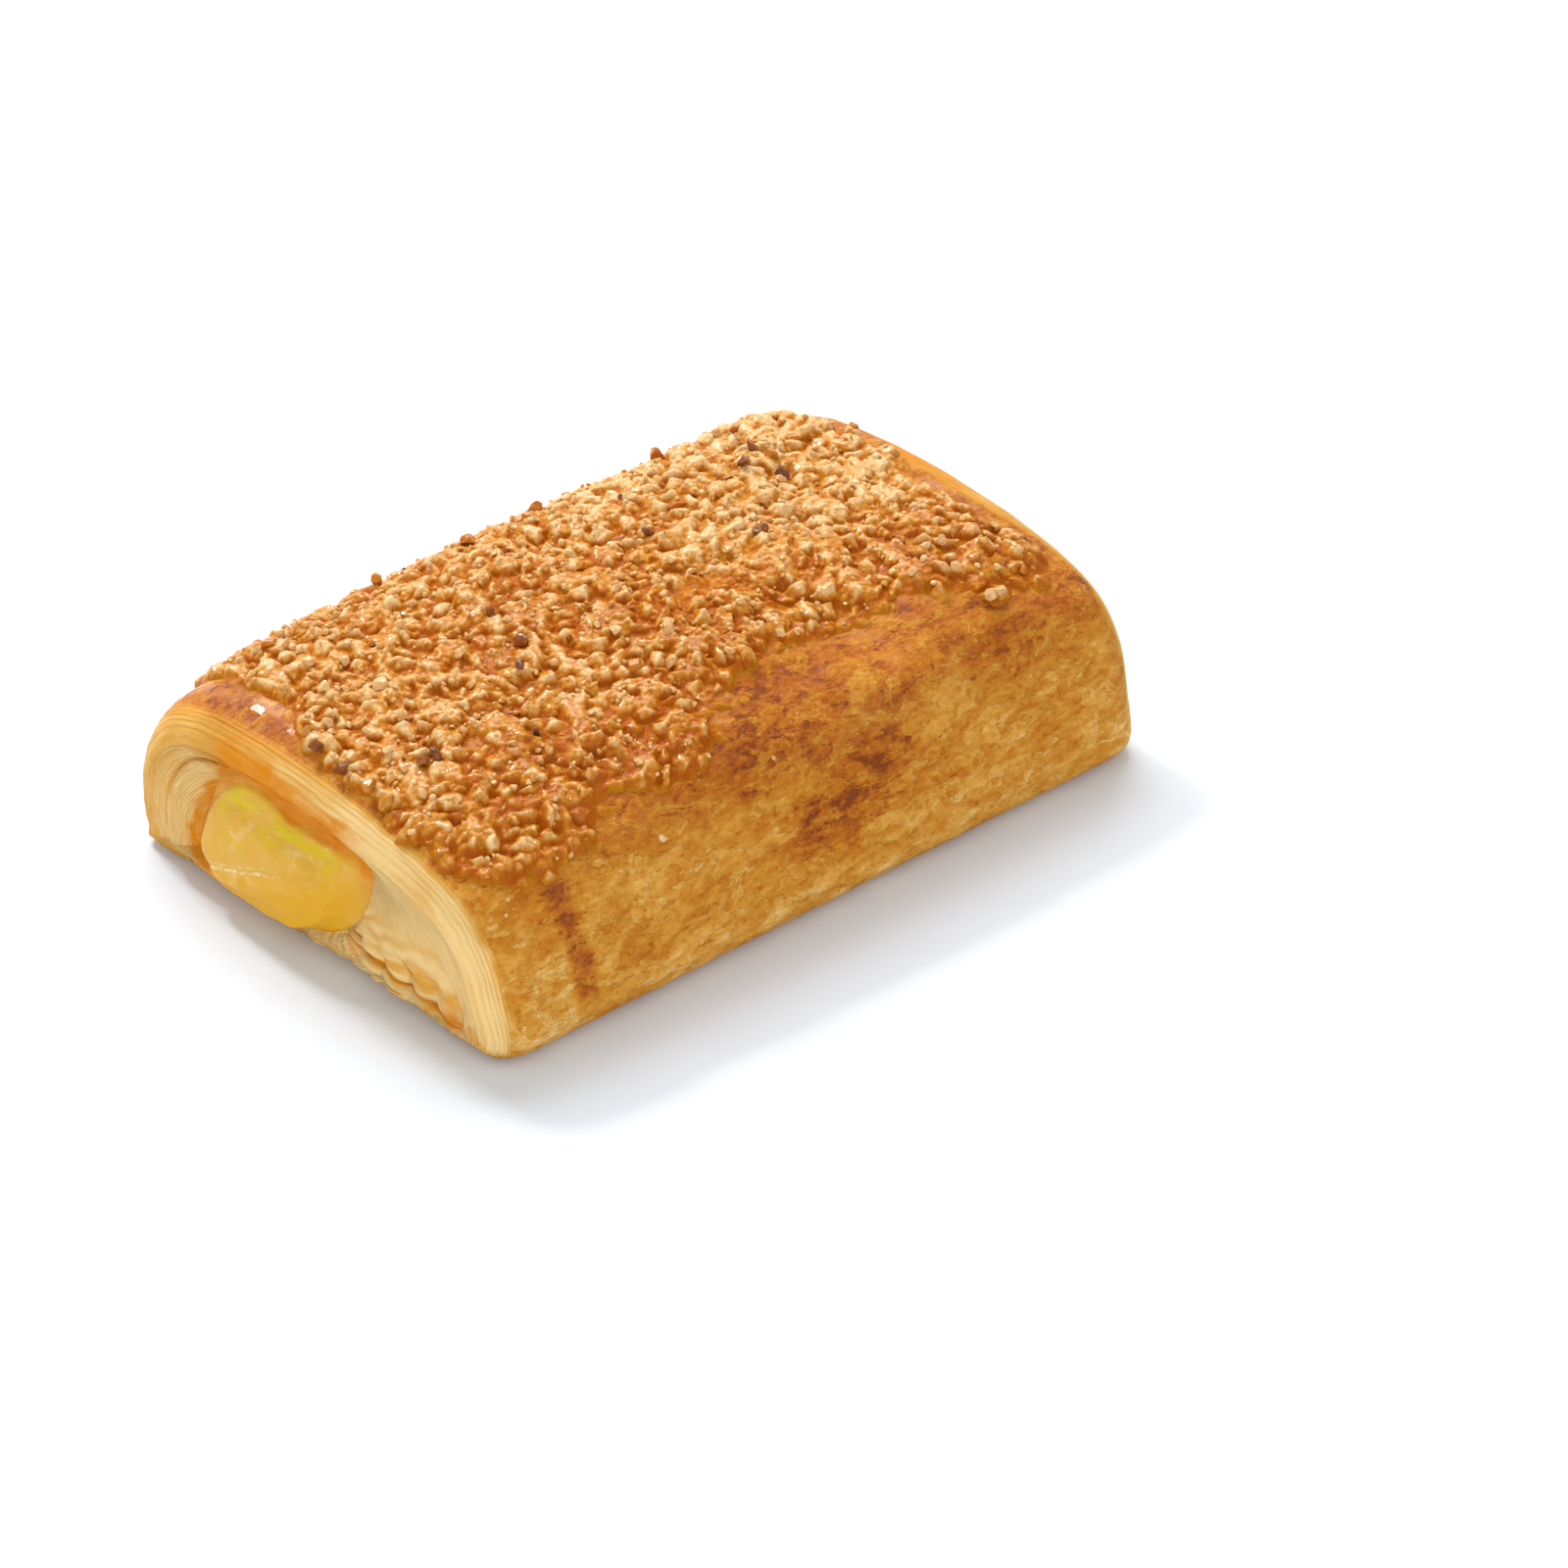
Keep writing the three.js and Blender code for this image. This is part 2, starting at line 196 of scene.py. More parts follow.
def crust_point(turn, x):
    """Places on the crust."""
    along = (x - DOUGH_MIDDLE) / (DOUGH_LENGTH / 2)
    from_end = (1 - np.abs(along)) * (DOUGH_LENGTH / 2)
    share = np.clip(1 - from_end / SHOULDER, 0, 1)
    drop = SHOULDER_DROP * (1 - np.sqrt(1 - share * share))
    across, up = outline(turn)
    tall = HEIGHT + CROWN * (1 - along * along) + RISE * along
    y = across * (WIDTH - 2 * drop * np.where(across > 0, BACK_DROP, 1))
    z = up * (tall - drop) + smooth(SWELL_FROM, 1, up) * swell(x, y) * (1 - share)
    flare = flare_at(y, z) * smooth(2 * SHOULDER, 0, from_end)
    curl = np.clip(1 - from_end / FOOT_ROUND, 0, 1) ** 2
    lift = curl * mix(FOOT_LIFT_OUTER, FOOT_LIFT_INNER, inner_foot(y))
    return np.stack([x + np.sign(along) * flare, y, np.maximum(z, lift)], -1)


def cream_oval(angle, grown, share=1.0):
    """Place (y, z) in the cream's leaning section, at a share of the way from its middle to its edge."""
    c = np.abs(np.cos(angle)) / (CREAM_HALF_WIDTH + grown)
    s = np.abs(np.sin(angle)) / (CREAM_HALF_HEIGHT + grown)
    reach = share * (c**CREAM_SQUARENESS + s**CREAM_SQUARENESS) ** (-1 / CREAM_SQUARENESS)
    up = reach * np.sin(angle)
    return CREAM_Y + reach * np.cos(angle) - CREAM_SHEAR * up, CREAM_Z + up


def lip_hollow(z):
    """How far the mouth lies back at a height."""
    tall = CREAM_Z + CREAM_HALF_HEIGHT - LIP_HOLLOW_FROM
    return LIP_HOLLOW * np.clip((z - LIP_HOLLOW_FROM) / tall, 0, 1)


def end_point(turn, inward, side):
    """Places on a cut end: inward goes from 0 at the crust to 1 at the mouth round the cream."""
    rim = crust_point(turn, DOUGH_MIDDLE + side * DOUGH_LENGTH / 2)
    wide = (rim[..., 1] - CREAM_Y) / CREAM_HALF_WIDTH
    high = (rim[..., 2] - CREAM_Z) / CREAM_HALF_HEIGHT
    angle = np.arctan2(high, wide)
    way = np.arctan2(np.sin(angle) * CREAM_HALF_HEIGHT, np.cos(angle) * CREAM_HALF_WIDTH)
    mouth_y, mouth_z = cream_oval(way, MOUTH_GROWN)
    y, z = mix(rim[..., 1], mouth_y, inward), mix(rim[..., 2], mouth_z, inward)
    away = smooth(0, 0.1, inward) * smooth(1, 0.9, inward)
    back = smooth(12, 26, y)
    into = np.clip((inward - ROLL_START) / (1 - ROLL_START), 0, 1)
    roll = ROLL_BULGE * 2 * np.sqrt(into * (1 - into)) * back
    groove = ROLL_GROOVE * bump(inward, ROLL_START, ROLL_GROOVE_WIDE) * back
    front_foot = smooth(-6, -16, y) * smooth(13, 8, z) * away
    pleats = PLEAT_RELIEF * np.sin(2 * np.pi * y / PLEAT_PITCH + 0.6 * np.sin(z)) * front_foot
    hollow = lip_hollow(z) * smooth(0.1, 1, inward)
    out = DOUGH_LENGTH / 2 + flare_at(y, z) + pleats + roll - groove - hollow
    return np.stack([DOUGH_MIDDLE + side * out, y, z], -1)


def grid_normals(places):
    """Directions straight out of a grid of places whose columns run clockwise, seen from the left end."""
    across = np.gradient(places, axis=1)
    along = np.gradient(places, axis=0)
    normal = np.cross(along, across)
    return normal / np.maximum(np.linalg.norm(normal, axis=-1, keepdims=True), 1e-9)


# ---- making meshes ----


def select_only(piece):
    bpy.ops.object.select_all(action="DESELECT")
    piece.select_set(True)
    bpy.context.view_layer.objects.active = piece


def add_attribute(mesh, name, values):
    """values holds a number or a vector for each point."""
    kind, key = ("FLOAT_VECTOR", "vector") if values.ndim == 2 else ("FLOAT", "value")
    layer = mesh.attributes.new(name, kind, "POINT")
    layer.data.foreach_set(key, values.astype(np.float32).ravel())


def grid_piece(name, places, values):
    """A flat grid, moved point by point to its places, with its seams and poles then merged."""
    rows, columns = places.shape[:2]
    bpy.ops.object.select_all(action="DESELECT")
    bpy.ops.mesh.primitive_grid_add(x_subdivisions=columns - 1, y_subdivisions=rows - 1, size=1)
    piece = bpy.context.object
    piece.name = piece.data.name = name
    piece.data.vertices.foreach_set("co", (places * MM).astype(np.float32).ravel())
    for key, value in values.items():
        add_attribute(piece.data, key, value.reshape(rows * columns, *value.shape[2:]))
    bpy.ops.object.mode_set(mode="EDIT")
    bpy.ops.mesh.select_all(action="SELECT")
    bpy.ops.mesh.remove_doubles(threshold=1e-6)
    bpy.ops.mesh.normals_make_consistent(inside=False)
    bpy.ops.object.mode_set(mode="OBJECT")
    bpy.ops.object.shade_smooth()
    return piece


def array_piece(name, points, triangles, values):
    """One mesh from arrays of points in millimetres and of triangles."""
    mesh = bpy.data.meshes.new(name)
    mesh.from_pydata((points * MM).tolist(), [], triangles.tolist())
    for key, value in values.items():
        add_attribute(mesh, key, value)
    piece = bpy.data.objects.new(name, mesh)
    bpy.context.collection.objects.link(piece)
    return piece


def place_in_model(piece, node, material):
    piece.data.materials.clear()
    piece.data.materials.append(material)
    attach(piece, BODY)
    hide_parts(node)


def read_piece(name, *keys):
    """The points of a finished piece in millimetres, their normals, and the attributes asked for."""
    mesh = bpy.data.objects[name].data
    count = len(mesh.vertices)
    points, normals = np.empty(count * 3, np.float32), np.empty(count * 3, np.float32)
    mesh.vertices.foreach_get("co", points)
    mesh.vertex_normals.foreach_get("vector", normals)
    found = []
    for key in keys:
        value = np.empty(count, np.float32)
        mesh.attributes[key].data.foreach_get("value", value)
        found.append(value)
    return points.reshape(-1, 3) / MM, normals.reshape(-1, 3), *found


# ---- shader helpers ----


class Value:
    """A number socket that takes part in Python expressions."""

    def __init__(self, finish, socket):
        self.finish, self.socket = finish, socket

    def math(self, operation, *others):
        links = dict(enumerate((self, *others)))
        made = self.finish.node("ShaderNodeMath", {"operation": operation}, links)
        return Value(self.finish, made.outputs[0])

    def __add__(self, other):
        return self.math("ADD", other)

    def __sub__(self, other):
        return self.math("SUBTRACT", other)

    def __rsub__(self, other):
        return self.finish.number(other).math("SUBTRACT", self)

    def __mul__(self, other):
        return self.math("MULTIPLY", other)

    def __truediv__(self, other):
        return self.math("DIVIDE", other)

    __radd__, __rmul__ = __add__, __mul__

    def step(self, low, high):
        """0 below low and 1 above high, smooth between."""
        settings = {"interpolation_type": "SMOOTHSTEP"}
        links = {"Value": self, "From Min": low, "From Max": high}
        return Value(self.finish, self.finish.node("ShaderNodeMapRange", settings, links).outputs[0])


class Finish:
    """A material's node tree."""

    def __init__(self, name):
        self.material = bpy.data.materials.new(name)
        self.material.use_nodes = True
        self.tree = self.material.node_tree
        self.shader = self.tree.nodes["Principled BSDF"]

    def node(self, kind, settings=None, sockets=None):
        """A node with its settings made first, then the values or links of its sockets."""
        made = self.tree.nodes.new(kind)
        for key, value in (settings or {}).items():
            if key == "stops":
                self.set_stops(made.color_ramp, value)
            else:
                setattr(made, key, value)
        for key, value in (sockets or {}).items():
            self.join(made.inputs[key], value)
        return made

    @staticmethod
    def set_stops(ramp, stops):
        while len(ramp.elements) < len(stops):
            ramp.elements.new(0.5)
        for element, (position, colour) in zip(ramp.elements, stops):
            element.position = position
            element.color = (*colour, 1)

    def join(self, socket, value):
        if isinstance(value, Value):
            value = value.socket
        if isinstance(value, bpy.types.NodeSocket):
            self.tree.links.new(value, socket)
        else:
            socket.default_value = value

    def number(self, value):
        made = self.node("ShaderNodeValue")
        made.outputs[0].default_value = value
        return Value(self, made.outputs[0])

    def attribute(self, name):
        return Value(self, self.node("ShaderNodeAttribute", {"attribute_name": name}).outputs["Fac"])

    def place(self, name=None):
        """The point's place: its own attribute of that name, or the object's coordinates."""
        if name:
            return self.node("ShaderNodeAttribute", {"attribute_name": name}).outputs["Vector"]
        return self.node("ShaderNodeTexCoord").outputs["Object"]

    def parts(self, place):
        """The three numbers of a place or a vector."""
        split = self.node("ShaderNodeSeparateXYZ", {}, {0: place})
        return [Value(self, socket) for socket in split.outputs]

    def stretched(self, place, scale):
        return self.node("ShaderNodeMapping", {}, {"Vector": place, "Scale": scale}).outputs[0]

    def noise(self, place, scale, detail=3.0, roughness=0.55, distortion=0.0):
        sockets = {
            "Vector": place,
            "Scale": scale,
            "Detail": detail,
            "Roughness": roughness,
            "Distortion": distortion,
        }
        return Value(self, self.node("ShaderNodeTexNoise", {}, sockets).outputs["Fac"])

    def ramp(self, value, stops):
        return self.node("ShaderNodeValToRGB", {"stops": stops}, {0: value}).outputs["Color"]

    def blend(self, share, first, second):
        """A colour between two, by a share."""
        sockets = {0: share, 6: first, 7: second}
        return self.node("ShaderNodeMix", {"data_type": "RGBA"}, sockets).outputs[2]

    def bumps(self, height, strength, distance):
        sockets = {"Height": height, "Strength": strength, "Distance": distance}
        return self.node("ShaderNodeBump", {}, sockets).outputs[0]

    def surface(self, sockets):
        for key, value in sockets.items():
            self.join(self.shader.inputs[key], value)
        return self.material


# ---- what a user would change ----


def colour(name, description, default):
    return FloatVectorProperty(
        name=name, description=description, default=default, size=3, min=0, max=1, subtype="COLOR"
    )


class NapolitanaSizes(bpy.types.PropertyGroup):
    """Sizes of the flaky relief and of the crumble"""

    layer_relief: FloatProperty(
        name="Layer relief",
        description="How far a layer of dough stands out of the cut ends",
        default=0.00014,
        subtype="DISTANCE",
        unit="LENGTH",
    )
    lump_count: IntProperty(name="Lumps", description="Nuts and sugar lumps sunk in the syrup", default=2000)
    grain_count: IntProperty(name="Grains", description="Small grains sunk in the syrup", default=2400)
    nut_count: IntProperty(name="Nuts", description="Chopped nuts that stand out of the syrup", default=420)
    sugar_count: IntProperty(name="Sugar lumps", description="Small lumps of sugar on top", default=520)
    roast_count: IntProperty(name="Roasted nuts", description="Nuts that have browned more", default=24)
    skin_count: IntProperty(name="Nut skins", description="Dark bits of skin", default=9)


class NapolitanaColours(bpy.types.PropertyGroup):
    """Colours of the bake, the cream and the crumble"""

    layer: colour("Layers", "Pale cut layers of dough", (0.83, 0.58, 0.24))
    amber: colour("Amber", "Butter-soaked edges beside the cream", (0.68, 0.235, 0.003))
    honey: colour("Honey", "Lightly baked dough", (0.70, 0.36, 0.06))
    gold: colour("Gold", "Baked crust", (0.56, 0.22, 0.014))
    chestnut: colour("Chestnut", "Well baked crust", (0.44, 0.115, 0.004))
    char: colour("Dark", "The darkest places", (0.22, 0.045, 0.004))
    cream_pale: colour("Pale cream", "Dry upper part of the cream", (0.72, 0.41, 0.045))
    cream_deep: colour("Deep cream", "Saturated lower part of the cream", (0.68, 0.355, 0.002))
    cream_lime: colour("Greenish cream", "Greenish marks near the cream's upper edge", (0.68, 0.50, 0.004))
    nut_pale: colour("Pale nut", "Sugared nut", (0.80, 0.53, 0.24))
    nut: colour("Nut", "Nut under syrup", (0.585, 0.23, 0.012))
    syrup: colour("Syrup", "Caramel between the nuts", (0.44, 0.105, 0.001))
    roast: colour("Roasted nut", "Browned nut", (0.32, 0.09, 0.010))
    skin: colour("Nut skin", "Dark skin", (0.06, 0.022, 0.012))


# ---- dough ----


def turns_for(steps, first=0.0, last=1.0):
    """Turns round the section at equal steps, but coarser ones under the base, and the length of a step."""
    fine = np.linspace(first, last, 4001)
    across, up = outline(fine)
    step = np.hypot(np.diff(across) * WIDTH, np.diff(up) * HEIGHT)
    step *= mix(BASE_SHARE, 1, smooth(0, 0.02, (up[1:] + up[:-1]) / 2))
    far = np.concatenate([[0], np.cumsum(step)])
    return np.interp(np.linspace(0, far[-1], steps + 1), far, fine), far[-1] / steps


def dough_rows():
    """For each row of the crust's mesh: its x on the crust, side, way inward and depth in the mouth."""
    half = DOUGH_LENGTH / 2
    steps = np.arange(1, FACE_ROWS + 1) / FACE_ROWS
    face = [(half, share, 0) for share in steps] + [(half, 1, depth) for depth in MOUTH_DEPTHS]
    ease = 1 - np.cos(np.linspace(0, 1, SHOULDER_ROWS) * np.pi / 2)
    shoulder = [(half - SHOULDER * share, 0, 0) for share in ease]
    left = [(-a, -1, b, c) for a, b, c in face[::-1] + shoulder]
    right = [(a, 1, b, c) for a, b, c in shoulder[::-1] + face]
    middle = [(a, 1, 0, 0) for a in np.linspace(SHOULDER - half, half - SHOULDER, BODY_ROWS + 2)[1:-1]]
    rows = np.array(left + middle + right + left[:1], float)
    rows[:, 0] += DOUGH_MIDDLE
    return rows[:, :, None]


def crust_relief(places):
    """Unevenness of the crust itself, in millimetres."""
    dents = 0.34 * noise(places, (13, 9, 9), 2)
    flaking = 0.17 * noise(places + 9, (5.5, 2.2, 1.3), 3) * smooth(29, 20, places[..., 2])
    return (dents + flaking) * smooth(0.5, 4, places[..., 2])


def layers_at(deep, around, side):
    """Which layer a place on a cut end lies in, as an uneven count from the crust, and how far into it."""
    at = np.stack(np.broadcast_arrays(deep * 0.5, around / 24, side * 50.0), -1)
    count = deep / LAYER_PITCH + 1.2 * noise(at, 1, 3)
    index = np.floor(count)
    return index, count - index


def shuffled(index, salt):
    """A fixed number of 0 to 1 for each index."""
    return np.mod(np.sin(index * 12.9898 + salt * 78.233) * 43758.5453, 1)


def dough_form(sizes):
    """Places, and values for the finish, of the whole baked crust."""
    x, side, inward, depth = np.moveaxis(dough_rows(), 1, 0)
    turn = turns_for(COLUMNS)[0][None, :]
    inside = inward > 0
    crust = crust_point(turn, np.where(inside, DOUGH_MIDDLE, x))
    face = end_point(turn, inward, side)
    face[..., 0] -= side * depth
    places = np.where(inside[..., None], face, crust)
    out = grid_normals(places)
    y, z = places[..., 1], places[..., 2]
    from_end = DOUGH_LENGTH / 2 - np.abs(x - DOUGH_MIDDLE)
    thick = np.linalg.norm((end_point(turn, 1.0, side) - end_point(turn, 0.0, side))[..., 1:], axis=-1)
    deep = np.where(inside, inward * thick, -from_end)
    gap = np.where(inside, (1 - inward) * thick, thick)
    around = turn * 240 * np.ones_like(x)
    index, within = layers_at(deep, around, side * np.ones_like(turn))

    up = smooth(0.5, 3, z)
    begin = mix(CUT_FROM, CUT_FROM_RIGHT, smooth(0, 1, side) * bump(y, -2, 15))
    cut = smooth(-begin, 1.2 - begin, deep + 0.6 * noise(places, 6, 2)) * up
    leaf = shuffled(index, 1) - 0.5
    edge = bump(within, 0.2, 0.16)
    ragged = 0.3 * noise(np.stack([index, around / 2.2, z / 4], -1), 1, 2)
    lines = (0.55 * leaf + 0.7 * edge + 0.5 * ragged) * mix(0.45, 1, smooth(24, 15, thick))
    fan = smooth(0, -7, y) * smooth(17, 11, z) * smooth(3, 6, deep)
    way, far = fan_place(places)
    streaks = noise(np.stack([way * 7, far / 8, side * 9.0 * np.ones_like(y)], -1), 1, 3)
    lines = mix(lines, 0.75 * streaks, fan)
    pleats = np.sin(FAN_WAVES * way + 1.6 * noise(places, 6, 2)) * smooth(1, 5, far)
    pleats = pleats * smooth(0.05, 0.35, way) * fan * cut
    relief = crust_relief(places) * (1 - cut)
    relief += (sizes.layer_relief / MM * lines * cut + PLEAT_FOLD * pleats) * smooth(0, 0.6, gap)
    relief += PLEAT_PAD * bump(y, -19, 10) * bump(z, 12, 8) * smooth(0.1, 1.4, gap) * cut
    foot = 0.4 * noise(places, (2.8, 3.4, 3), 2) * smooth(6, 1.5, z) * up
    moved = places + out * (relief + foot)[..., None]
    moved[..., 2] = np.where(z < 0.02, z, np.maximum(moved[..., 2], 0.02))
    moved[:, -1] = moved[:, 0]
    moved[-1] = moved[0]
    layer_place = np.stack([deep * np.ones_like(turn), around, side * 50 * np.ones_like(turn)], -1)
    bake = mix(crust_bake(places), cut_bake(places, deep, inward, lines, streaks * fan), cut)
    # The troughs of the fine folds are painted amber and darker and their ridges paler: painted shade and
    # light of the folds.
    amber = amber_of(places, deep, gap, side) + 0.9 * smooth(-0.1, -0.8, pleats)
    values = {
        "bake": bake - 0.12 * pleats,
        "amber": np.clip(amber, 0, 1) * cut,
        "cut": cut,
        "fan": fan * cut,
        "glaze": glaze_of(places, cut),
        "layer_place": layer_place,
    }
    return moved, values


def fan_place(places):
    """The way from the fan's corner to a place on a cut end, 0 being straight forwards, and how far it is."""
    y, z = places[..., 1] - FAN_Y, places[..., 2] - FAN_Z
    return np.arctan2(-z, -y), np.hypot(y, z)


# How brown each part is before its own marks: the crust, the base, the cut layers and the run of syrup.
BAKE_WALL, BAKE_BASE, BAKE_CUT, BAKE_DRIP = 0.52, 0.6, 0.14, 0.9
DRIP_X, DRIP_HALF_WIDTH = -52.4, 2.3
# Patches of the crust: x, y, half-width along x and along y.
RED_PATCH = (-11, -38, 11, 6)
PALE_PATCH = (-58, -42, 7, 8)
BROWNED_STRIP = (-62, 26, 8, 18)
WET_STRIP = (-61, 26, 8, 15)


def drip_at(places):
    """1 on the line that syrup has run down the front, near its left end."""
    x, y, z = np.moveaxis(places, -1, 0)
    middle = DRIP_X + 1.1 * np.sin(z / 5) + 0.08 * (z - 15)
    wide = DRIP_HALF_WIDTH + 0.6 * noise(places, 5, 2)
    return smooth(1.25, 0.5, np.abs(x - middle) / wide) * smooth(-30, -35, y) * smooth(3, 9, z)


def crust_bake(places):
    """How brown the crust is, from 0, pale, to 1, dark."""
    x, y, z = np.moveaxis(places, -1, 0)
    wall = BAKE_WALL + 0.09 * noise(places, 12, 3)
    wall += 0.14 * noise(places + 5, (5, 3, 1.7), 3) * smooth(28, 20, z)
    wall += 0.07 * smooth(19, 28, z) + 0.15 * smooth(21, 28, z)
    # Painted contact shade darkens the last few millimetres above the base; higher up, the foot is paler.
    wall += 0.14 * smooth(3.5, 1, z) - 0.12 * smooth(11, 1, z)
    wall += 0.14 * spot(places, *RED_PATCH) * smooth(18, 25, z)
    wall -= 0.1 * spot(places, *PALE_PATCH) * smooth(20, 12, z)
    slanting = bump(z, 17 + 0.3 * x, 6) * smooth(-14, -6, x) * smooth(24, 10, x)
    wall += 0.42 * slanting * smooth(-36, -42, y)
    browned = 0.16 * smooth(0, 0.5, noise(places + 60, (6, 9, 6), 2)) - 0.04
    wall += browned * spot(places, *BROWNED_STRIP)
    glazed = smooth(-14, -6, x) * smooth(23, 28, z) * smooth(-18, -24, y)
    wall += 0.12 * smooth(-0.2, 0.5, noise(places + 61, (7, 5, 5), 2)) * glazed
    wall = mix(wall, BAKE_DRIP, 0.9 * drip_at(places))
    return mix(BAKE_BASE + 0.12 * noise(places, 16, 3), wall, smooth(0.1, 1.2, z))


def cut_bake(places, deep, inward, lines, streaks):
    """How brown the cut layers are, likewise."""
    y, z = places[..., 1], places[..., 2]
    pale = BAKE_CUT - 0.1 * smooth(-2, -12, y) + 0.07 * noise(places, 8, 2)
    pale -= 0.06 * lines + 0.26 * streaks
    pale += 0.22 * smooth(-1.4, -3.1, deep)
    # A darker line along the groove where the inner roll begins: painted shade in the groove.
    pale += 0.12 * bump(inward, ROLL_START, 0.05) * smooth(14, 24, y)
    pale += 0.12 * smooth(3.5, 1, deep) * smooth(8, 20, y)
    pale += 0.1 * smooth(-8, 12, y) * smooth(32, 24, y) * smooth(18, 26, z)
    return pale


def amber_of(places, deep, gap, side):
    """Where butter and cream have soaked the cut end: over the cream, behind it and at the pleats."""
    x, y, z = np.moveaxis(places, -1, 0)
    ragged = gap + 0.9 * noise(places, (3, 6, 3), 2)
    lip = smooth(-1.2, -0.4, deep + 0.5 * noise(places, (3, 9, 2), 2)) * smooth(9, 16, z)
    lip *= smooth(30, 14, y) * smooth(-18, -4, y)
    groove = smooth(4.6, 1.6, ragged) * smooth(15, 21, y) * smooth(26, 20, z)
    arch = 0.5 * smooth(9, 6, ragged) * smooth(4, 12, y) * smooth(26, 18, y) * smooth(14, 20, z)
    way, far = fan_place(places)
    specks = smooth(0.05, 0.6, noise(np.stack([way * 5, far / 5, x / 9], -1), 1, 3))
    specks *= 0.7 * smooth(-7, -12, y) * smooth(14, 9, z)
    heel = 0.9 * bump(y, -33, 2.2) * bump(z, 4, 3.5)
    crescent = 0.6 * smooth(0, 1, side) * smooth(2, 0, deep) * smooth(20, 28, z)
    return lip + groove + arch + specks + heel + crescent


def glaze_of(places, cut):
    """How wet with egg wash and sugar the surface shines."""
    top = smooth(18, 27, places[..., 2])
    streaks = 0.6 + 0.4 * noise(places, 7, 2) + 0.6 * noise(places + 8, (1.6, 4, 2), 2)
    wet = top * (0.6 * streaks + 0.5 * spot(places, *WET_STRIP)) + 0.4 * drip_at(places)
    return np.clip(wet, 0.05, 1) * (1 - cut)


def dough_finish(colours):
    finish = Finish("baked_dough")
    place = finish.place()
    layers = finish.place("layer_place")
    cut, fan, amber = (finish.attribute(name) for name in ("cut", "fan", "amber"))
    glaze = finish.attribute("glaze")
    wide = finish.stretched(place, (0.55, 0.8, 1))
    blotches = finish.noise(wide, 520, 5, 0.66, 0.5).step(0.36, 0.64)
    flecks = finish.noise(wide, 1500, 3, 0.6)
    specks = finish.noise(wide, 900, 3, 0.7, 0.3).step(0.56, 0.68)
    film = finish.noise(finish.stretched(place, (0.5, 0.8, 1.1)), 200, 5, 0.62, 0.4)
    torn = film.step(0.515, 0.535)
    torn_edge = torn * (1 - film.step(0.535, 0.56))
    deep = finish.parts(layers)[0]
    warp = finish.noise(finish.stretched(layers, (0.35, 0.05, 1)), 1.0, 4, 0.6)
    leaf = ((deep + warp * 1.2) / 0.55).math("FRACT")
    leaf = leaf.step(0.0, 0.25) * (1 - leaf.step(0.7, 1.0)) * (1 - fan)
    threads = finish.noise(finish.stretched(layers, (2.2, 0.05, 1)), 1.0, 3, 0.6)
    ribs = finish.noise(finish.stretched(layers, (0.12, 1.1, 1)), 1.0, 3, 0.6) * fan
    mottle = (blotches - 0.5) * 0.2 + (flecks - 0.5) * 0.5 + specks * 0.2 - torn * 0.12 - torn_edge * 0.14
    strands = (threads - 0.5) * (0.45 - fan * 0.35) + (0.5 - leaf) * 0.07 + (0.5 - ribs) * fan * 0.4
    bake = finish.attribute("bake") + mottle * (1 - cut) + strands * cut
    stops = [
        (0, colours.layer),
        (0.28, colours.honey),
        (0.56, colours.gold),
        (0.8, colours.chestnut),
        (1, colours.char),
    ]
    base = finish.ramp(bake, stops)
    soaked = amber * (film * 1.5 + threads * 0.8 - 0.35)
    base = finish.blend(soaked.step(0.1, 0.9), base, (*colours.amber, 1))
    flakes = torn * 0.5 - blotches * 0.4 - flecks * 0.9
    edges = leaf * 0.4 + threads * (1.2 - fan) + ribs * 1.2
    skin = finish.bumps(flakes * (1 - cut) + edges * cut, 0.8, 0.0004)
    return finish.surface(
        {
            "Base Color": base,
            "Roughness": 0.62 - glaze * 0.22 + (flecks - 0.5) * 0.2,
            "Specular IOR Level": 0.14,
            "Coat Weight": glaze * glaze * 0.45,
            "Coat Roughness": 0.05,
            "Subsurface Weight": 0.12,
            "Subsurface Radius": (1.0, 0.45, 0.2),
            "Subsurface Scale": 0.0012,
            "Normal": skin,
        }
    )


class NAPOLITANA_OT_dough(bpy.types.Operator):
    """Models the baked dough, with its glazed crust and its flaky ends"""

    bl_idname = "napolitana.dough"
    bl_label = "Baked dough"

    def execute(self, context):
        scene = context.scene
        places, values = dough_form(scene.napolitana_sizes)
        piece = grid_piece("baked_dough", places, values)
        place_in_model(piece, "pastry_dough", dough_finish(scene.napolitana_colours))
        return {"FINISHED"}


# ---- cream ----


CREAM_AROUND = 200
CREAM_CAP_ROWS = 52
CREASE_FROM = (24.6, 5.1)  # y and z of the fold across the left bulge
CREASE_SLOPE = 0.356
RIM_SUNK = 0.35  # how far the edge of the cream lies behind the edge of the dough
LEFT_PUFF, LEFT_LEAN = 2.9, 4.1
RIGHT_PUFF, RIGHT_LEAN = 9.4, 0.8
SQUEEZED_TOP, SQUEEZED_BACK = 2.8, 1.5  # how far the left bulge has spread over the roll
# Greenish marks on the left bulge: y, z, half-width and half-height.
LIME_MARKS = ((15.4, 19.4, 4, 1.7), (4.1, 18.2, 5, 1.8), (16.6, 12.8, 2.8, 1.4), (9, 16, 2.8, 1.1))
MILKY = (0.84, 0.62, 0.28, 1)
# Colour of the highlight painted along the fold of the left bulge.
PAINTED_CREASE_HIGHLIGHT = (0.9, 0.8, 0.55, 1)


def crease_line(y, z):
    """How far above the fold of the left bulge a place is."""
    return z - CREASE_FROM[1] - CREASE_SLOPE * (CREASE_FROM[0] - y)


def lip_share(y):
    """Share of the way to the cream's edge at which the soaked band over the left bulge begins."""
    return 0.87 - 0.25 * bump(y, 5, 11)


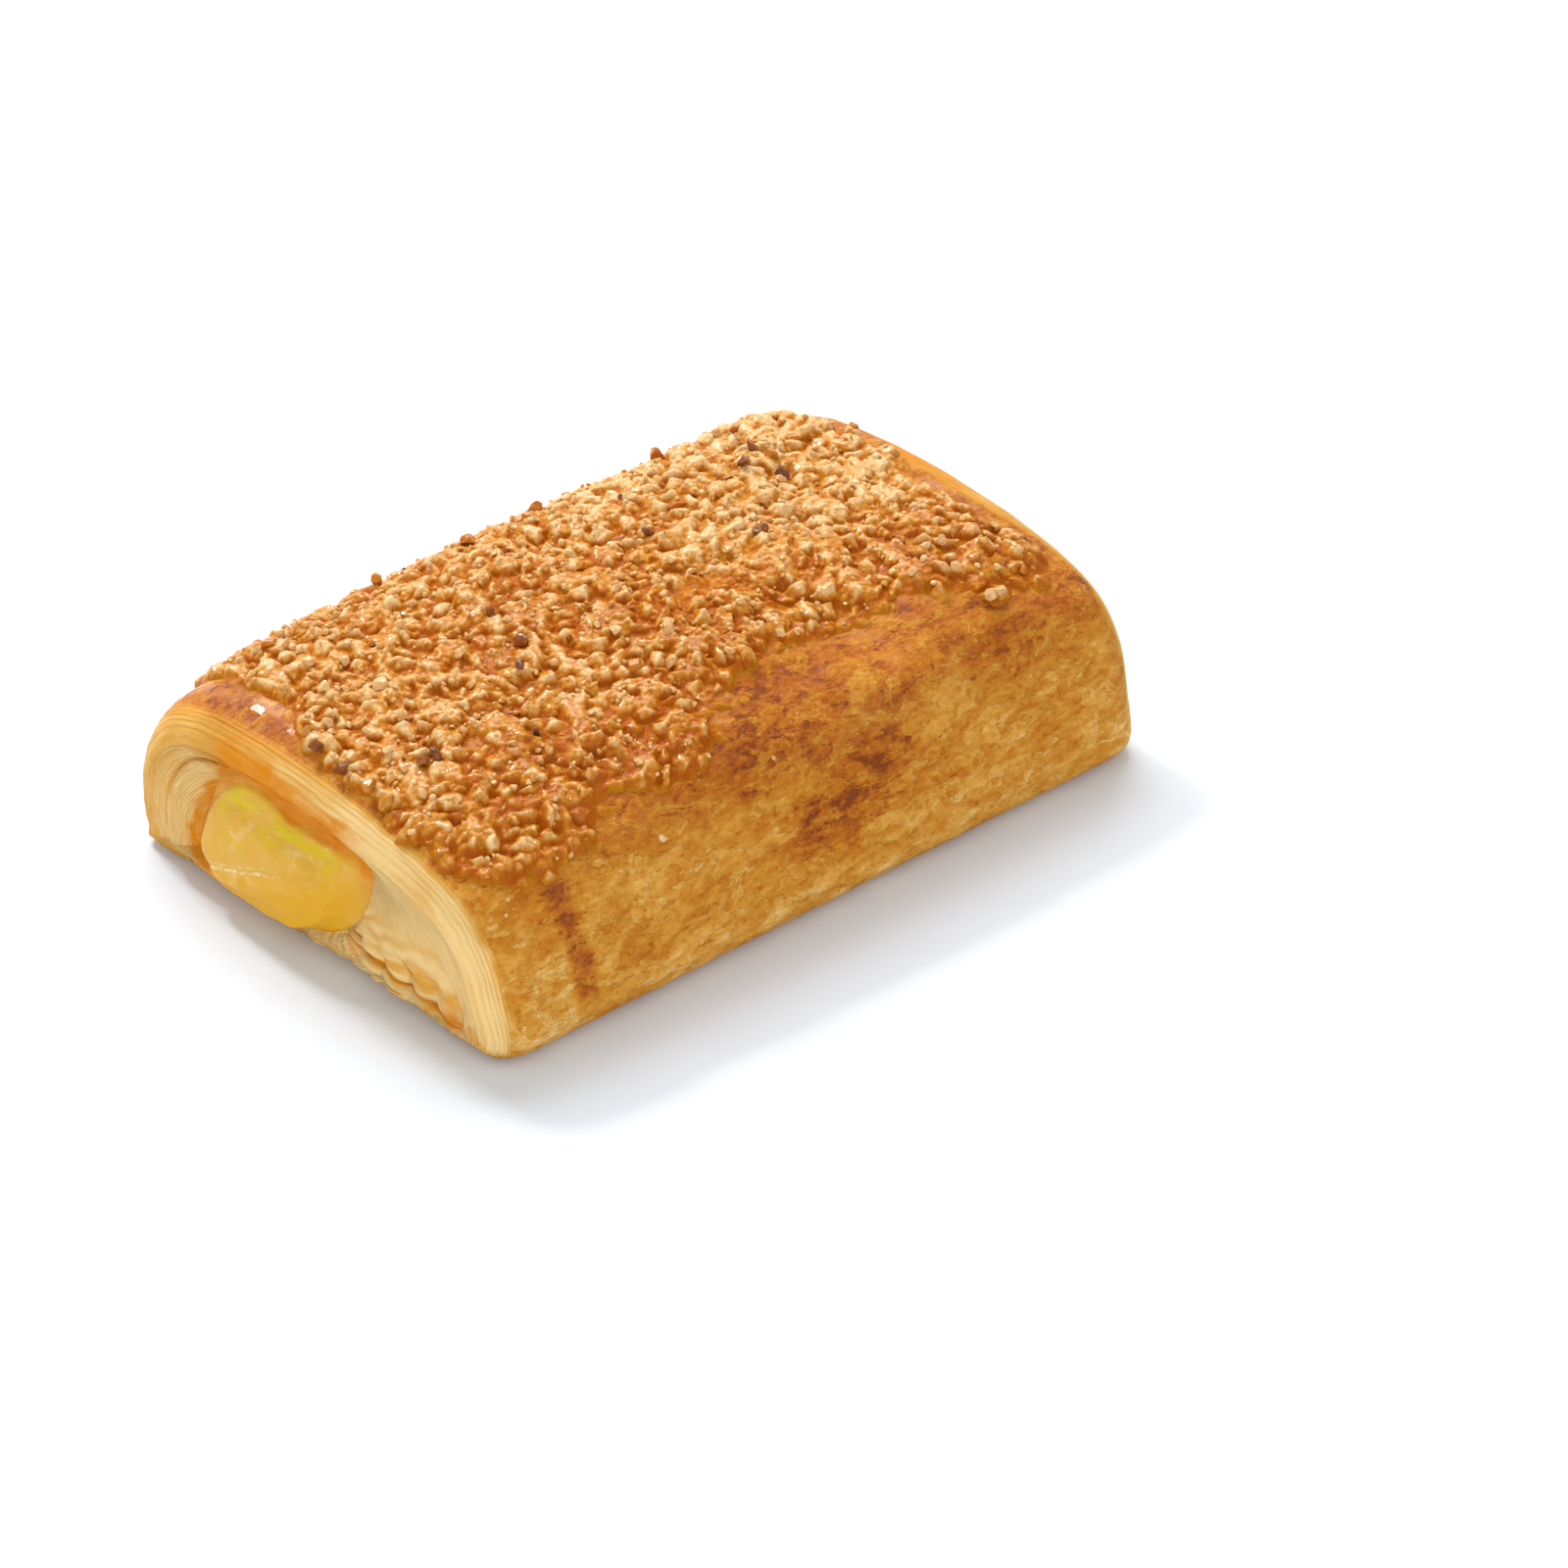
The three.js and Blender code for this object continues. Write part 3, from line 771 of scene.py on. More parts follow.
def cream_form():
    """Places and values of the cream bar, from the pole of one bulge to the pole of the other."""
    angle = np.pi - np.linspace(0, 2 * np.pi, CREAM_AROUND + 1)[None, :]
    outs = np.linspace(0, 1, CREAM_CAP_ROWS)[:, None]
    share = np.cos(outs * np.pi / 2)
    rim_y, rim_z = cream_oval(angle, MOUTH_GROWN)
    rim = flare_at(rim_y, rim_z) - lip_hollow(rim_z) - RIM_SUNK
    caps = []
    for side in (-1, 1):
        y, z = cream_oval(angle, 0, share)
        low = (CREAM_Z - z) / CREAM_HALF_HEIGHT
        begin = 0.86
        if side < 0:
            line = crease_line(y, z)
            reach = smooth(-9, 0, y) * smooth(26, 22, y)
            lean = LEFT_LEAN * np.where(low > 0, low * mix(0.5, 1, smooth(-13, 3, y)), 0.7 * low)
            dome = LEFT_PUFF * (1 - share**2) ** 1.1 + lean
            dome += 0.9 * smooth(0.3, -1.6, line) * smooth(-9, -1, line) * reach
            dome += 0.25 * bump(line, -0.4, 0.7) * reach
            dome -= 0.5 * bump(z, 18.5, 3.2) * smooth(-12, -2, y) * smooth(24, 16, y)
            dome += 1.3 * smooth(9, 22, y) * smooth(3, 9, z)
            dome -= 0.6 * smooth(-0.03, 0.03, share - lip_share(y)) * smooth(8, 15, z + 0.4 * y)
            front = smooth(2, -9, y) * smooth(1, 6, z)
            begin = mix(mix(0.86, 0.95, smooth(0, -0.6, low)), 0.6, front)
            squeezed = SQUEEZED_TOP * bump(angle, 0.5, 0.5) + SQUEEZED_BACK * bump(angle, -0.25, 0.5)
            y, z = cream_oval(angle, squeezed * smooth(1, 0.94, share), share)
        else:
            dome = RIGHT_PUFF * np.sqrt(1 - share**2) + RIGHT_LEAN * low
        stand = mix(dome, rim, smooth(begin, 1, share))
        place = np.stack([DOUGH_MIDDLE + side * (DOUGH_LENGTH / 2 + stand), y, z], -1)
        soft = (0.6 + 0.3 * side) * noise(place, (6, 8, 5), 2) + 0.06 * noise(place, (1.8, 2.6, 1.4), 2)
        place[..., 0] += side * soft * smooth(1, 0.9, share)
        caps.append(place)
    places = np.concatenate([caps[0][::-1], caps[1]])
    shares = np.concatenate([share[::-1], share]) * np.ones_like(angle)
    places[0], places[-1] = places[0, 0], places[-1, 0]
    places[:, -1] = places[:, 0]
    return places, cream_values(places, shares)


def cream_values(places, share):
    x, y, z = np.moveaxis(places, -1, 0)
    line = crease_line(y, z)
    left = smooth(0, -60, x)
    deep = smooth(1.5, -4, line + 2.2 * noise(places, 6, 2)) * mix(1, 0.4, left * smooth(-3, -12, y))
    lip = mix(0.88, lip_share(y), left)
    lime = bump(share, lip - 0.12, 0.07) * smooth(14, 18, z)
    for at_y, at_z, wide, high in LIME_MARKS:
        lime += 0.6 * bump(y, at_y, wide) * bump(z, at_z, high)
    lime *= 0.8 + 1.2 * noise(places, (3, 3, 1.2), 2)
    # Where the highlight along the fold is painted: on the left bulge only.
    shine = smooth(3, 9, y) * smooth(27, 25, y) * smooth(-60, -66, x)
    edge = smooth(lip - 0.04, lip + 0.04, share + 0.05 * noise(places, (3, 4, 2), 2))
    edge *= smooth(8, 15, z + 0.4 * y) * left
    groove = smooth(0.8, 0.9, share + 0.05 * noise(places, 3, 2)) * smooth(13, 19, y) * smooth(24, 18, z)
    foot = 0.6 * smooth(5, -1, z - 0.5 * (y - 20)) * smooth(14, 20, y)
    return {
        "deep": deep,
        "lime": np.clip(lime, 0, 1),
        "shine": shine,
        "edge": np.max([edge, groove, foot], axis=0),
    }


def cream_finish(colours):
    finish = Finish("custard_cream")
    place = finish.place()
    clouds = finish.noise(place, 180, 3, 0.5)
    fine = finish.noise(place, 1400, 3, 0.6)
    smears = finish.noise(finish.stretched(place, (1, 0.5, 1.5)), 420, 4, 0.65, 0.6)
    _, y, z = finish.parts(place)
    # A thin highlight painted along the fold, and a fainter one just above it; they also make the cream
    # glossier there.
    above = z - CREASE_FROM[1] * MM - (y * -1 + CREASE_FROM[0] * MM) * CREASE_SLOPE + (clouds - 0.5) * 0.0012
    crease_highlight = above.math("ABSOLUTE").step(0.00026, 0.00004)
    crease_highlight = crease_highlight + (above - 0.0008).math("ABSOLUTE").step(0.00015, 0) * 0.6
    crease_highlight = crease_highlight * finish.attribute("shine") * fine.step(0.42, 0.56)
    deep = finish.attribute("deep") + (clouds - 0.5) * 0.5 + (smears - 0.5) * 0.5
    base = finish.blend(deep.step(0.05, 0.95), (*colours.cream_pale, 1), (*colours.cream_deep, 1))
    milky = finish.noise(finish.stretched(place, (1, 0.7, 1)), 260, 5, 0.7, 0.4).step(0.52, 0.7)
    base = finish.blend(milky * (1 - deep) * 0.55, base, MILKY)
    lime = finish.attribute("lime") * smears.step(0.37, 0.5)
    base = finish.blend(lime * 0.95, base, (*colours.cream_lime, 1))
    base = finish.blend(finish.attribute("edge") * 0.95, base, (*colours.amber, 1))
    # The painted highlight along the fold.
    base = finish.blend(crease_highlight * 0.7, base, PAINTED_CREASE_HIGHLIGHT)
    soft = finish.bumps(clouds + smears * 0.6 + fine * 0.15, 0.45, 0.0007)
    return finish.surface(
        {
            "Base Color": base,
            "Roughness": 0.42 + (clouds - 0.5) * 0.2 - crease_highlight * 0.15,
            "Specular IOR Level": 0.18,
            "Coat Weight": 0.14 + crease_highlight * 0.7,
            "Coat Roughness": 0.12,
            "Subsurface Weight": 0.2,
            "Subsurface Radius": (1.0, 0.6, 0.15),
            "Subsurface Scale": 0.002,
            "Normal": soft,
        }
    )


class NAPOLITANA_OT_cream(bpy.types.Operator):
    """Models the bar of custard cream that bulges from both ends"""

    bl_idname = "napolitana.cream"
    bl_label = "Custard cream"

    def execute(self, context):
        places, values = cream_form()
        piece = grid_piece("custard_cream", places, values)
        finish = cream_finish(context.scene.napolitana_colours)
        place_in_model(piece, "cream_filling", finish)
        return {"FINISHED"}


# ---- crumble ----

SHEET_FROM, SHEET_TO = 0.283, 0.733  # turns of the section between which the crumble can lie
SHEET_LEFT, SHEET_RIGHT = -67.6, 62
SHEET_COLUMNS, SHEET_ROWS = 374, 478
SHEET_SKIRT = 1.6  # how deep the sheet's border goes into the dough
FILLET = 0.22  # how far syrup rounds off the foot of a lump
SHEET_POLE = 9  # how far inwards the skirt is drawn together at each end
HEAPED = 1.5  # how high the lumps are heaped in places
# Lumps and grains in the sheet: the smallest and the largest half-length, the lean towards small ones, the
# room between them, their height as a share of their half-length, and how much what lies below lifts them.
LUMPS = (0.8, 2.8, 1.4, 0.6, 0.5, 0.42)
GRAINS = (0.35, 0.75, 1.3, 0.5, 0.65, 0.9)
CRUMBLE_LEFT, CRUMBLE_RIGHT, CRUMBLE_FRONT, CRUMBLE_BACK = -67, 60, -33, 46.5
# Bare places: how bare, x, y, half-width along x and along y.
BARE_SPOTS = ((0.75, 1, -4, 6, 3.5), (0.6, -12, -28, 5, 3), (0.6, 26, -24, 7, 4))
THIN_SYRUP = (0.49, 0.18, 0.006, 1)
CHIPS_TOP = 39.1  # no chip stands higher than this


def crumble_cover(places):
    """Where the crumble lies: 1 over the top, thinning out down the front, and at the ends and the back."""
    x, y, z = np.moveaxis(places, -1, 0)
    ragged = 2.4 * noise(places, 9, 2) + 1.1 * noise(places, 2.6, 1)
    left_edge = CRUMBLE_LEFT + 6.5 * smooth(4, 24, y)
    left = smooth(left_edge, left_edge + 3, x + 0.6 * ragged)
    right_edge = CRUMBLE_RIGHT - 3 * bump(y, -3, 12)
    right = smooth(right_edge, right_edge - 4, x + 0.6 * ragged)
    front_edge = CRUMBLE_FRONT - 4 * bump(x, -51, 8) - 2 * bump(x, -22, 9) + 5 * bump(x, -66, 5)
    front_edge += 2 * bump(x, -36, 5)
    front_edge += 10 * smooth(-22, 0, x) - 5 * smooth(28, 42, x)
    front = smooth(front_edge - 4, front_edge + 5, y + 1.2 * ragged)
    back = smooth(CRUMBLE_BACK, CRUMBLE_BACK - 5.5, y + 0.4 * ragged)
    back *= np.where(y > 20, smooth(20.5, 26, z + 0.8 * ragged), 1)
    bare = sum(share * spot(places, *where) for share, *where in BARE_SPOTS)
    return left * right * front * back * np.clip(1 - bare - 0.3 * trough_at(places), 0, 1)


def trough_at(places):
    """1 along the floor of the trough that crosses the top slantwise."""
    x, y = places[..., 0], places[..., 1]
    return bump(x - 7 + 0.45 * y + 2 * noise(places, 7, 2), 0, 3) * smooth(-20, -12, y) * smooth(22, 12, y)


class Drape:
    """A sheet of syrup laid over lumps, as heights above the crust on a grid of even steps."""

    def __init__(self, shape, steps, random):
        self.height = np.zeros(shape)
        self.tint = np.full(shape, 0.4)
        self.steps = np.array(steps)
        self.random = random

    def add(self, row, column, size, tall, lift):
        """Adds a broken lump: a block with five to seven sides and a few sloping faces on top."""
        random = self.random
        reach = np.ceil(size * 1.25 / self.steps).astype(int)
        rows = np.arange(max(row - reach[0], 0), min(row + reach[0] + 1, self.height.shape[0]))
        columns = np.arange(max(column - reach[1], 0), min(column + reach[1] + 1, self.height.shape[1]))
        u = (rows[:, None] - row) * self.steps[0] / size
        v = (columns[None, :] - column) * self.steps[1] / size
        turn = random.uniform(0, np.pi)
        breadth = random.uniform(0.6, 0.95)
        p = u * math.cos(turn) + v * math.sin(turn)
        q = (v * math.cos(turn) - u * math.sin(turn)) / breadth
        top = np.full(p.shape, np.inf)
        for _ in range(3):
            lean_p, lean_q = random.normal(scale=0.45, size=2)
            top = np.minimum(top, tall * random.uniform(0.85, 1.15) + size * (lean_p * p + lean_q * q))
        sides = random.integers(5, 8)
        for k in range(sides):
            way = 2 * np.pi * (k + random.uniform(-0.3, 0.3)) / sides
            far = random.uniform(0.75, 1.05) - p * math.cos(way) - q * math.sin(way)
            top = np.minimum(top, far * size * random.uniform(1.1, 2.2))
        there = self.height[rows[0] : rows[-1] + 1, columns[0] : columns[-1] + 1]
        base = self.height[row, column] * lift
        top = top + base
        blend = np.clip(0.5 + 0.5 * (top - there) / FILLET, 0, 1) * (top > base - FILLET)
        tints = self.tint[rows[0] : rows[-1] + 1, columns[0] : columns[-1] + 1]
        tints += (random.uniform() - tints) * blend
        there += (np.minimum(top, base + 1.3 * tall) - there) * blend + FILLET * blend * (1 - blend)


def averaged(values, reach):
    """Values of a grid, each averaged with its neighbours as far as reach steps away."""
    weights = np.hanning(2 * reach + 3)[1:-1]
    weights /= weights.sum()

    def along(line):
        return np.convolve(np.pad(line, reach, mode="edge"), weights, "valid")

    return np.apply_along_axis(along, 1, np.apply_along_axis(along, 0, values))


def crumble_form(sizes, random):
    """The syrup sheet over the crust with its lumps: two halves, each closed below inside the dough."""
    turn, across = turns_for(SHEET_COLUMNS, SHEET_FROM, SHEET_TO)
    x = np.linspace(SHEET_LEFT, SHEET_RIGHT, SHEET_ROWS)[:, None]
    base = crust_point(turn[None, :], x * np.ones_like(turn))
    out = grid_normals(base)
    cover = crumble_cover(base)
    drape = Drape(cover.shape, (x[1, 0] - x[0, 0], across), random)
    heap = smooth(-0.3, 0.5, noise(base + 33, 5.5, 2)) * cover
    drape.height += HEAPED * heap * mix(1, 0.35, smooth(35.3, 36.8, base[..., 2]))
    chance = cover**1.5 * mix(0.3, 1, heap)
    scatter = Scatter(random, base.reshape(-1, 3), out.reshape(-1, 3), chance.ravel())
    for count, kind in ((sizes.lump_count, LUMPS), (sizes.grain_count, GRAINS)):
        small, large, lean, apart, flat, lift = kind
        scatter.taken = {}
        for index, size in scatter.spots(lengths(random, count, small, large, lean), apart, 0.4):
            row, column = divmod(index, cover.shape[1])
            drape.add(row, column, size, size * flat * random.uniform(0.7, 1.2), lift)
    drape.height += 0.13 * noise(base, 1, 3) * cover
    rise = 0.7 * (drape.height - averaged(drape.height, 6))
    rise += 0.4 * (drape.height - averaged(drape.height, 14))
    spread = smooth(0.02, 0.5, cover)
    above = crust_relief(base) + mix(-0.3, 0.05, spread) + drape.height * mix(0.45, 1, spread)
    # Painted shade darkens the lumps along the trough and makes them less glossy; where the crumble thins
    # out, the syrup shows darker.
    rise -= 0.35 * trough_at(base) + 0.3 * smooth(0.8, 0.2, cover)
    tint = drape.tint + 0.5 * smooth(-12, 20, base[..., 0]) * smooth(-12, 6, base[..., 1])
    tint -= 0.4 * smooth(-12, -26, base[..., 1]) + 0.25 * spot(base, -8, -5, 15, 8)
    values = {"cover": cover, "rise": rise, "tint": tint}
    middle = SHEET_ROWS // 2
    for name, rows in (("crumble_left", slice(0, middle + 2)), ("crumble_right", slice(middle, SHEET_ROWS))):
        border = np.zeros_like(cover[rows])
        border[0] = border[-1] = 1
        border[:, 0] = border[:, -1] = 1
        places = base[rows] + out[rows] * (above[rows] - SHEET_SKIRT * border)[..., None]
        places = np.concatenate([places, places[:, :1]], axis=1)
        ends = ((0, SHEET_POLE), (-1, -SHEET_POLE))
        inside = [np.array([places[end, 0, 0] + way, 0, places[end, 0, 2]]) for end, way in ends]
        poles = [np.broadcast_to(point, (1, *places.shape[1:])) for point in inside]
        places = np.concatenate([poles[0], places, poles[1]])
        yield name, places, {key: np.pad(value[rows], ((1, 1), (0, 1))) for key, value in values.items()}


def lengths(random, count, small, large, lean):
    """Half-lengths of a number of pieces, the largest first; the more lean, the fewer of them are large."""
    return np.sort(small + (large - small) * random.uniform(size=count) ** lean)[::-1]


class Scatter:
    """Picks places on a surface, kept a little apart."""

    CELL = 3.0

    def __init__(self, random, points, normals, chance):
        self.random = random
        self.points, self.normals, self.chance = points, normals, chance
        self.taken = {}

    def near(self, point):
        cell = np.floor(point / self.CELL).astype(int)
        for step in np.ndindex(3, 3, 3):
            yield from self.taken.get(tuple(cell + step - 1), ())

    def take(self, index, size):
        point = self.points[index]
        self.taken.setdefault(tuple(np.floor(point / self.CELL).astype(int)), []).append((point, size))

    def spots(self, sizes, apart, clumping):
        """An index for each size where there is room, in the order of the sizes."""
        clumps = smooth(-0.35, 0.3, noise(self.points + 70, 6.5, 2))
        chance = self.chance * mix(1, clumps, clumping)
        picks = self.random.choice(len(chance), size=len(sizes) * 6, p=chance / chance.sum())
        found = []
        for index in picks:
            if len(found) == len(sizes):
                break
            point, size = self.points[index], sizes[len(found)]
            near = self.near(point)
            if all(np.linalg.norm(point - other) > apart * (size + reach) for other, reach in near):
                self.take(index, size)
                found.append((int(index), size))
        return found

    def nearest(self, x, y):
        off = np.hypot(self.points[:, 0] - x, self.points[:, 1] - y) + 100 * (self.points[:, 2] < 20)
        return int(np.argmin(off))


def chip_masters(count, cuts, subdivisions, random, rough):
    """Points and triangles of a few chips, each a ball of unit size that is cut flat by random planes."""
    masters = []
    for _ in range(count):
        bpy.ops.object.select_all(action="DESELECT")
        bpy.ops.mesh.primitive_ico_sphere_add(subdivisions=subdivisions, radius=1)
        chip = bpy.context.object
        bpy.ops.object.mode_set(mode="EDIT")
        for _ in range(cuts):
            way = random.normal(size=3)
            way /= np.linalg.norm(way)
            bpy.ops.mesh.select_all(action="SELECT")
            bpy.ops.mesh.bisect(
                plane_co=way * random.uniform(0.5, 0.8),
                plane_no=way,
                use_fill=True,
                clear_outer=True,
            )
        bpy.ops.mesh.select_all(action="SELECT")
        bpy.ops.mesh.remove_doubles(threshold=0.12)
        bpy.ops.mesh.quads_convert_to_tris()
        bpy.ops.object.mode_set(mode="OBJECT")
        mesh = chip.data
        points = np.empty(len(mesh.vertices) * 3, np.float32)
        mesh.vertices.foreach_get("co", points)
        points = points.reshape(-1, 3).astype(float)
        points *= 1 + rough * random.uniform(-1, 1, (len(points), 1))
        triangles = np.array([face.vertices[:] for face in mesh.polygons])
        masters.append((points, triangles))
        bpy.data.objects.remove(chip)
        bpy.data.meshes.remove(mesh)
    return masters


def scatter_piece(name, masters, random, spots, flat, sunk, tilt):
    """One mesh of many chips. A spot holds a point, its normal, how far it rises, a half-length and a tint.
    flat is a chip's height and sunk how deep it sits, as shares of its half-length."""
    points, triangles, tints, rises = [], [], [], []
    start = 0
    for point, normal, rise, size, tint in spots:
        shape, faces = masters[random.integers(len(masters))]
        up = normal + random.normal(scale=tilt, size=3)
        up /= np.linalg.norm(up)
        along = np.cross(up, random.normal(size=3))
        along /= np.linalg.norm(along)
        axes = np.stack([along, np.cross(up, along), up])
        scale = size * np.array([1, random.uniform(0.55, 0.9), flat * random.uniform(0.8, 1.2)])
        placed = (shape * scale) @ axes + point + normal * size * (flat - sunk)
        placed[:, 2] -= max(placed[:, 2].max() - CHIPS_TOP, 0)
        points.append(placed)
        triangles.append(faces + start)
        tints.append(np.full(len(shape), tint))
        rises.append((placed - point) @ normal + rise)
        start += len(shape)
    values = {"tint": np.concatenate(tints), "rise": np.concatenate(rises)}
    values["cover"] = np.ones_like(values["tint"])
    piece = array_piece(name, np.concatenate(points), np.concatenate(triangles), values)
    select_only(piece)
    bpy.ops.object.shade_smooth_by_angle(angle=math.radians(32))
    return piece


def crumble_finish(name, pale, middle, deep):
    """Sugared nut: paler where it stands out, amber and glossy where the syrup has run to its foot."""
    finish = Finish(name)
    place = finish.place()
    broad = finish.noise(place, 75, 2, 0.5)
    clouds = finish.noise(place, 650, 4, 0.65)
    fine = finish.noise(place, 2400, 3, 0.6)
    grains = finish.node("ShaderNodeTexVoronoi", {}, {"Vector": place, "Scale": 950, "Randomness": 1})
    far = Value(finish, grains.outputs["Distance"])
    own = finish.parts(grains.outputs["Color"])[0]
    cover = finish.attribute("cover")
    rise = finish.attribute("rise").step(-0.6, 0.75)
    tint = finish.attribute("tint")
    share = rise * 0.8 + (tint - 0.5) * 0.4 + (clouds - 0.5) * 0.6 + (broad - 0.5) * 0.6 + 0.05
    share = share + (own - 0.5) * 0.32 - (far - 0.4) * 0.35
    base = finish.ramp(share, [(0.04, deep), (0.4, middle), (0.9, pale)])
    base = finish.blend(cover.step(0.5, 0.08) * 0.85, base, THIN_SYRUP)
    syrup = finish.bumps(clouds * 0.8 + fine * 0.5 - far * 0.9, 0.8, 0.0005)
    return finish.surface(
        {
            "Base Color": base,
            "Roughness": 0.38 + (fine - 0.5) * 0.8,
            "Specular IOR Level": 0.06,
            "Coat Weight": cover.step(0.1, 0.6) * (rise * 0.55 + 0.04),
            "Coat Roughness": 0.04,
            "Subsurface Weight": 0.3,
            "Subsurface Radius": (1.0, 0.45, 0.15),
            "Subsurface Scale": 0.001,
            "Normal": syrup,
        }
    )


# Bits that show clearly, by x and y, and the half-length of each kind.
DARK_BITS = (
    (39.5, 23.6), (39.2, 16), (34.1, 18.8), (22.1, 1.2), (10.1, 14.5), (-25.2, 11.1),
    (-25, 2.5), (-64, 4.1), (-64.8, -3.2), (-56.2, -11.5), (-53.4, -11.3),
)
AMBER_BITS = (
    (-64.3, -13.1), (-64.4, -9.4), (-62.7, 7.8), (-16.2, -13.3), (-24.8, -13.3), (18.1, 16.2),
    (22, 31), (-28, 36), (40.6, 20), (-51.6, 33.3), (30, 36), (-9.7, 36), (5, 37), (44, 33),
)
PALE_BITS = ((-10.8, -16.8), (-7.3, -10.3), (-48, 10), (14, 24), (30, 10))
DARK_SIZE, AMBER_SIZE, PALE_SIZE = 1.5, 1.75, 1.7


class NAPOLITANA_OT_syrup(bpy.types.Operator):
    """Lays the sheet of syrup over the top, with the nuts and the sugar that are sunk in it"""

    bl_idname = "napolitana.syrup"
    bl_label = "Syrup and sunk nuts"

    def execute(self, context):
        scene = context.scene
        colours = scene.napolitana_colours
        finish = crumble_finish("crumble", colours.nut_pale, colours.nut, colours.syrup)
        for name, places, values in crumble_form(scene.napolitana_sizes, np.random.default_rng(SEED)):
            place_in_model(grid_piece(name, places, values), "pastry_dough", finish)
        return {"FINISHED"}


class NAPOLITANA_OT_crumble(bpy.types.Operator):
    """Scatters loose chopped nuts, sugar and bits of skin over the syrup"""

    bl_idname = "napolitana.crumble"
    bl_label = "Nut crumble"

    def execute(self, context):
        scene = context.scene
        sizes, colours = scene.napolitana_sizes, scene.napolitana_colours
        random = np.random.default_rng(SEED + 1)
        halves = [read_piece(name, "cover", "rise") for name in ("crumble_left", "crumble_right")]
        points, normals, cover, rise = (np.concatenate(pair) for pair in zip(*halves))
        strays = 0.05 * smooth(-42, -38, points[:, 1]) * smooth(8, 0, points[:, 0]) * (points[:, 2] > 20)
        scatter = Scatter(random, points, normals, np.maximum(cover, strays) * (rise > -0.4))
        chips = chip_masters(14, 7, 2, random, 0.05)
        lumps = chip_masters(8, 3, 2, random, 0.10)
        skins = [(scatter.nearest(x, y), DARK_SIZE) for x, y in DARK_BITS]
        roasts = [(scatter.nearest(x, y), AMBER_SIZE) for x, y in AMBER_BITS]
        pales = [(scatter.nearest(x, y), PALE_SIZE) for x, y in PALE_BITS]
        for index, size in skins + roasts + pales:
            scatter.take(index, size)
        sugared = bpy.data.materials["crumble"]
        browned = crumble_finish("browned", colours.nut, colours.syrup, colours.roast)
        dark = crumble_finish("dark_skin", colours.roast, colours.skin, colours.skin)
        # Name, shapes, finish, chosen spots, count, spread of half-lengths, height, how deep sunk, and tilt.
        kinds = (
            ("roasted_nuts", chips, browned, roasts, sizes.roast_count, (0.7, 1.4, 2.2), 0.66, 0.5, 0.35),
            ("chopped_nuts", chips, sugared, pales, sizes.nut_count, (0.5, 1.3, 2.0), 0.7, 0.5, 0.35),
            ("nut_skins", chips, dark, skins, sizes.skin_count, (0.5, 1.2, 2.0), 0.55, 0, 0.4),
            ("sugar_lumps", chips + lumps, sugared, [], sizes.sugar_count, (0.25, 0.6, 1.6), 0.8, 0.5, 0.5),
        )
        for name, masters, finish, chosen, count, spread, flat, sunk, tilt in kinds:
            found = chosen + scatter.spots(lengths(random, count, *spread), 0.6, 0.6)
            spots = [(points[at], normals[at], rise[at] + 0.2, size, random.uniform()) for at, size in found]
            piece = scatter_piece(name, masters, random, spots, flat, sunk, tilt)
            place_in_model(piece, "pastry_dough", finish)
        return {"FINISHED"}


# ---- stage ----

AIM = Vector((14.3, -13.4, 0)) * MM
AZIMUTH, ELEVATION = math.radians(-41.23), math.radians(33.78)
DISTANCE = 0.9
LENS, SENSOR = 128.8, 36
FLOOR_SIZE = 6
FLOOR_COLOURS = ((0.775, 0.83, 0.91, 1), (0.79, 0.845, 0.925, 1))
SKY_COLOUR, SKY_STRENGTH = (1, 0.965, 0.9, 1), 0.62
LIT_POINT = (0, 0, 0.02)
# Name, place, width and height, and power.
LIGHTS = (
    ("softbox_back", (0.42, 0.6, 0.85), (0.75, 0.6), 8.6),
    ("sparkle", (0.05, 0.6, 0.6), (0.14, 0.1), 3.4),
    ("fill_left", (-1.0, -0.9, 0.4), (0.8, 0.8), 6.5),
    ("fill_right", (0.5, -1.1, 0.6), (0.8, 0.8), 0.9),
)


def add_light(name, place, size, power):
    bpy.ops.object.select_all(action="DESELECT")
    bpy.ops.object.light_add(type="AREA", location=place)
    lamp = bpy.context.object
    lamp.name = name
    lamp.data.shape = "RECTANGLE"
    lamp.data.size, lamp.data.size_y = size
    lamp.data.energy = power
    lamp.rotation_euler = (Vector(LIT_POINT) - Vector(place)).to_track_quat("-Z", "Y").to_euler()


def floor_finish():
    finish = Finish("pale_floor")
    grain = finish.noise(finish.place(), 30, 2, 0.5)
    base = finish.blend(grain, *FLOOR_COLOURS)
    return finish.surface({"Base Color": base, "Roughness": 0.9, "Specular IOR Level": 0.1})


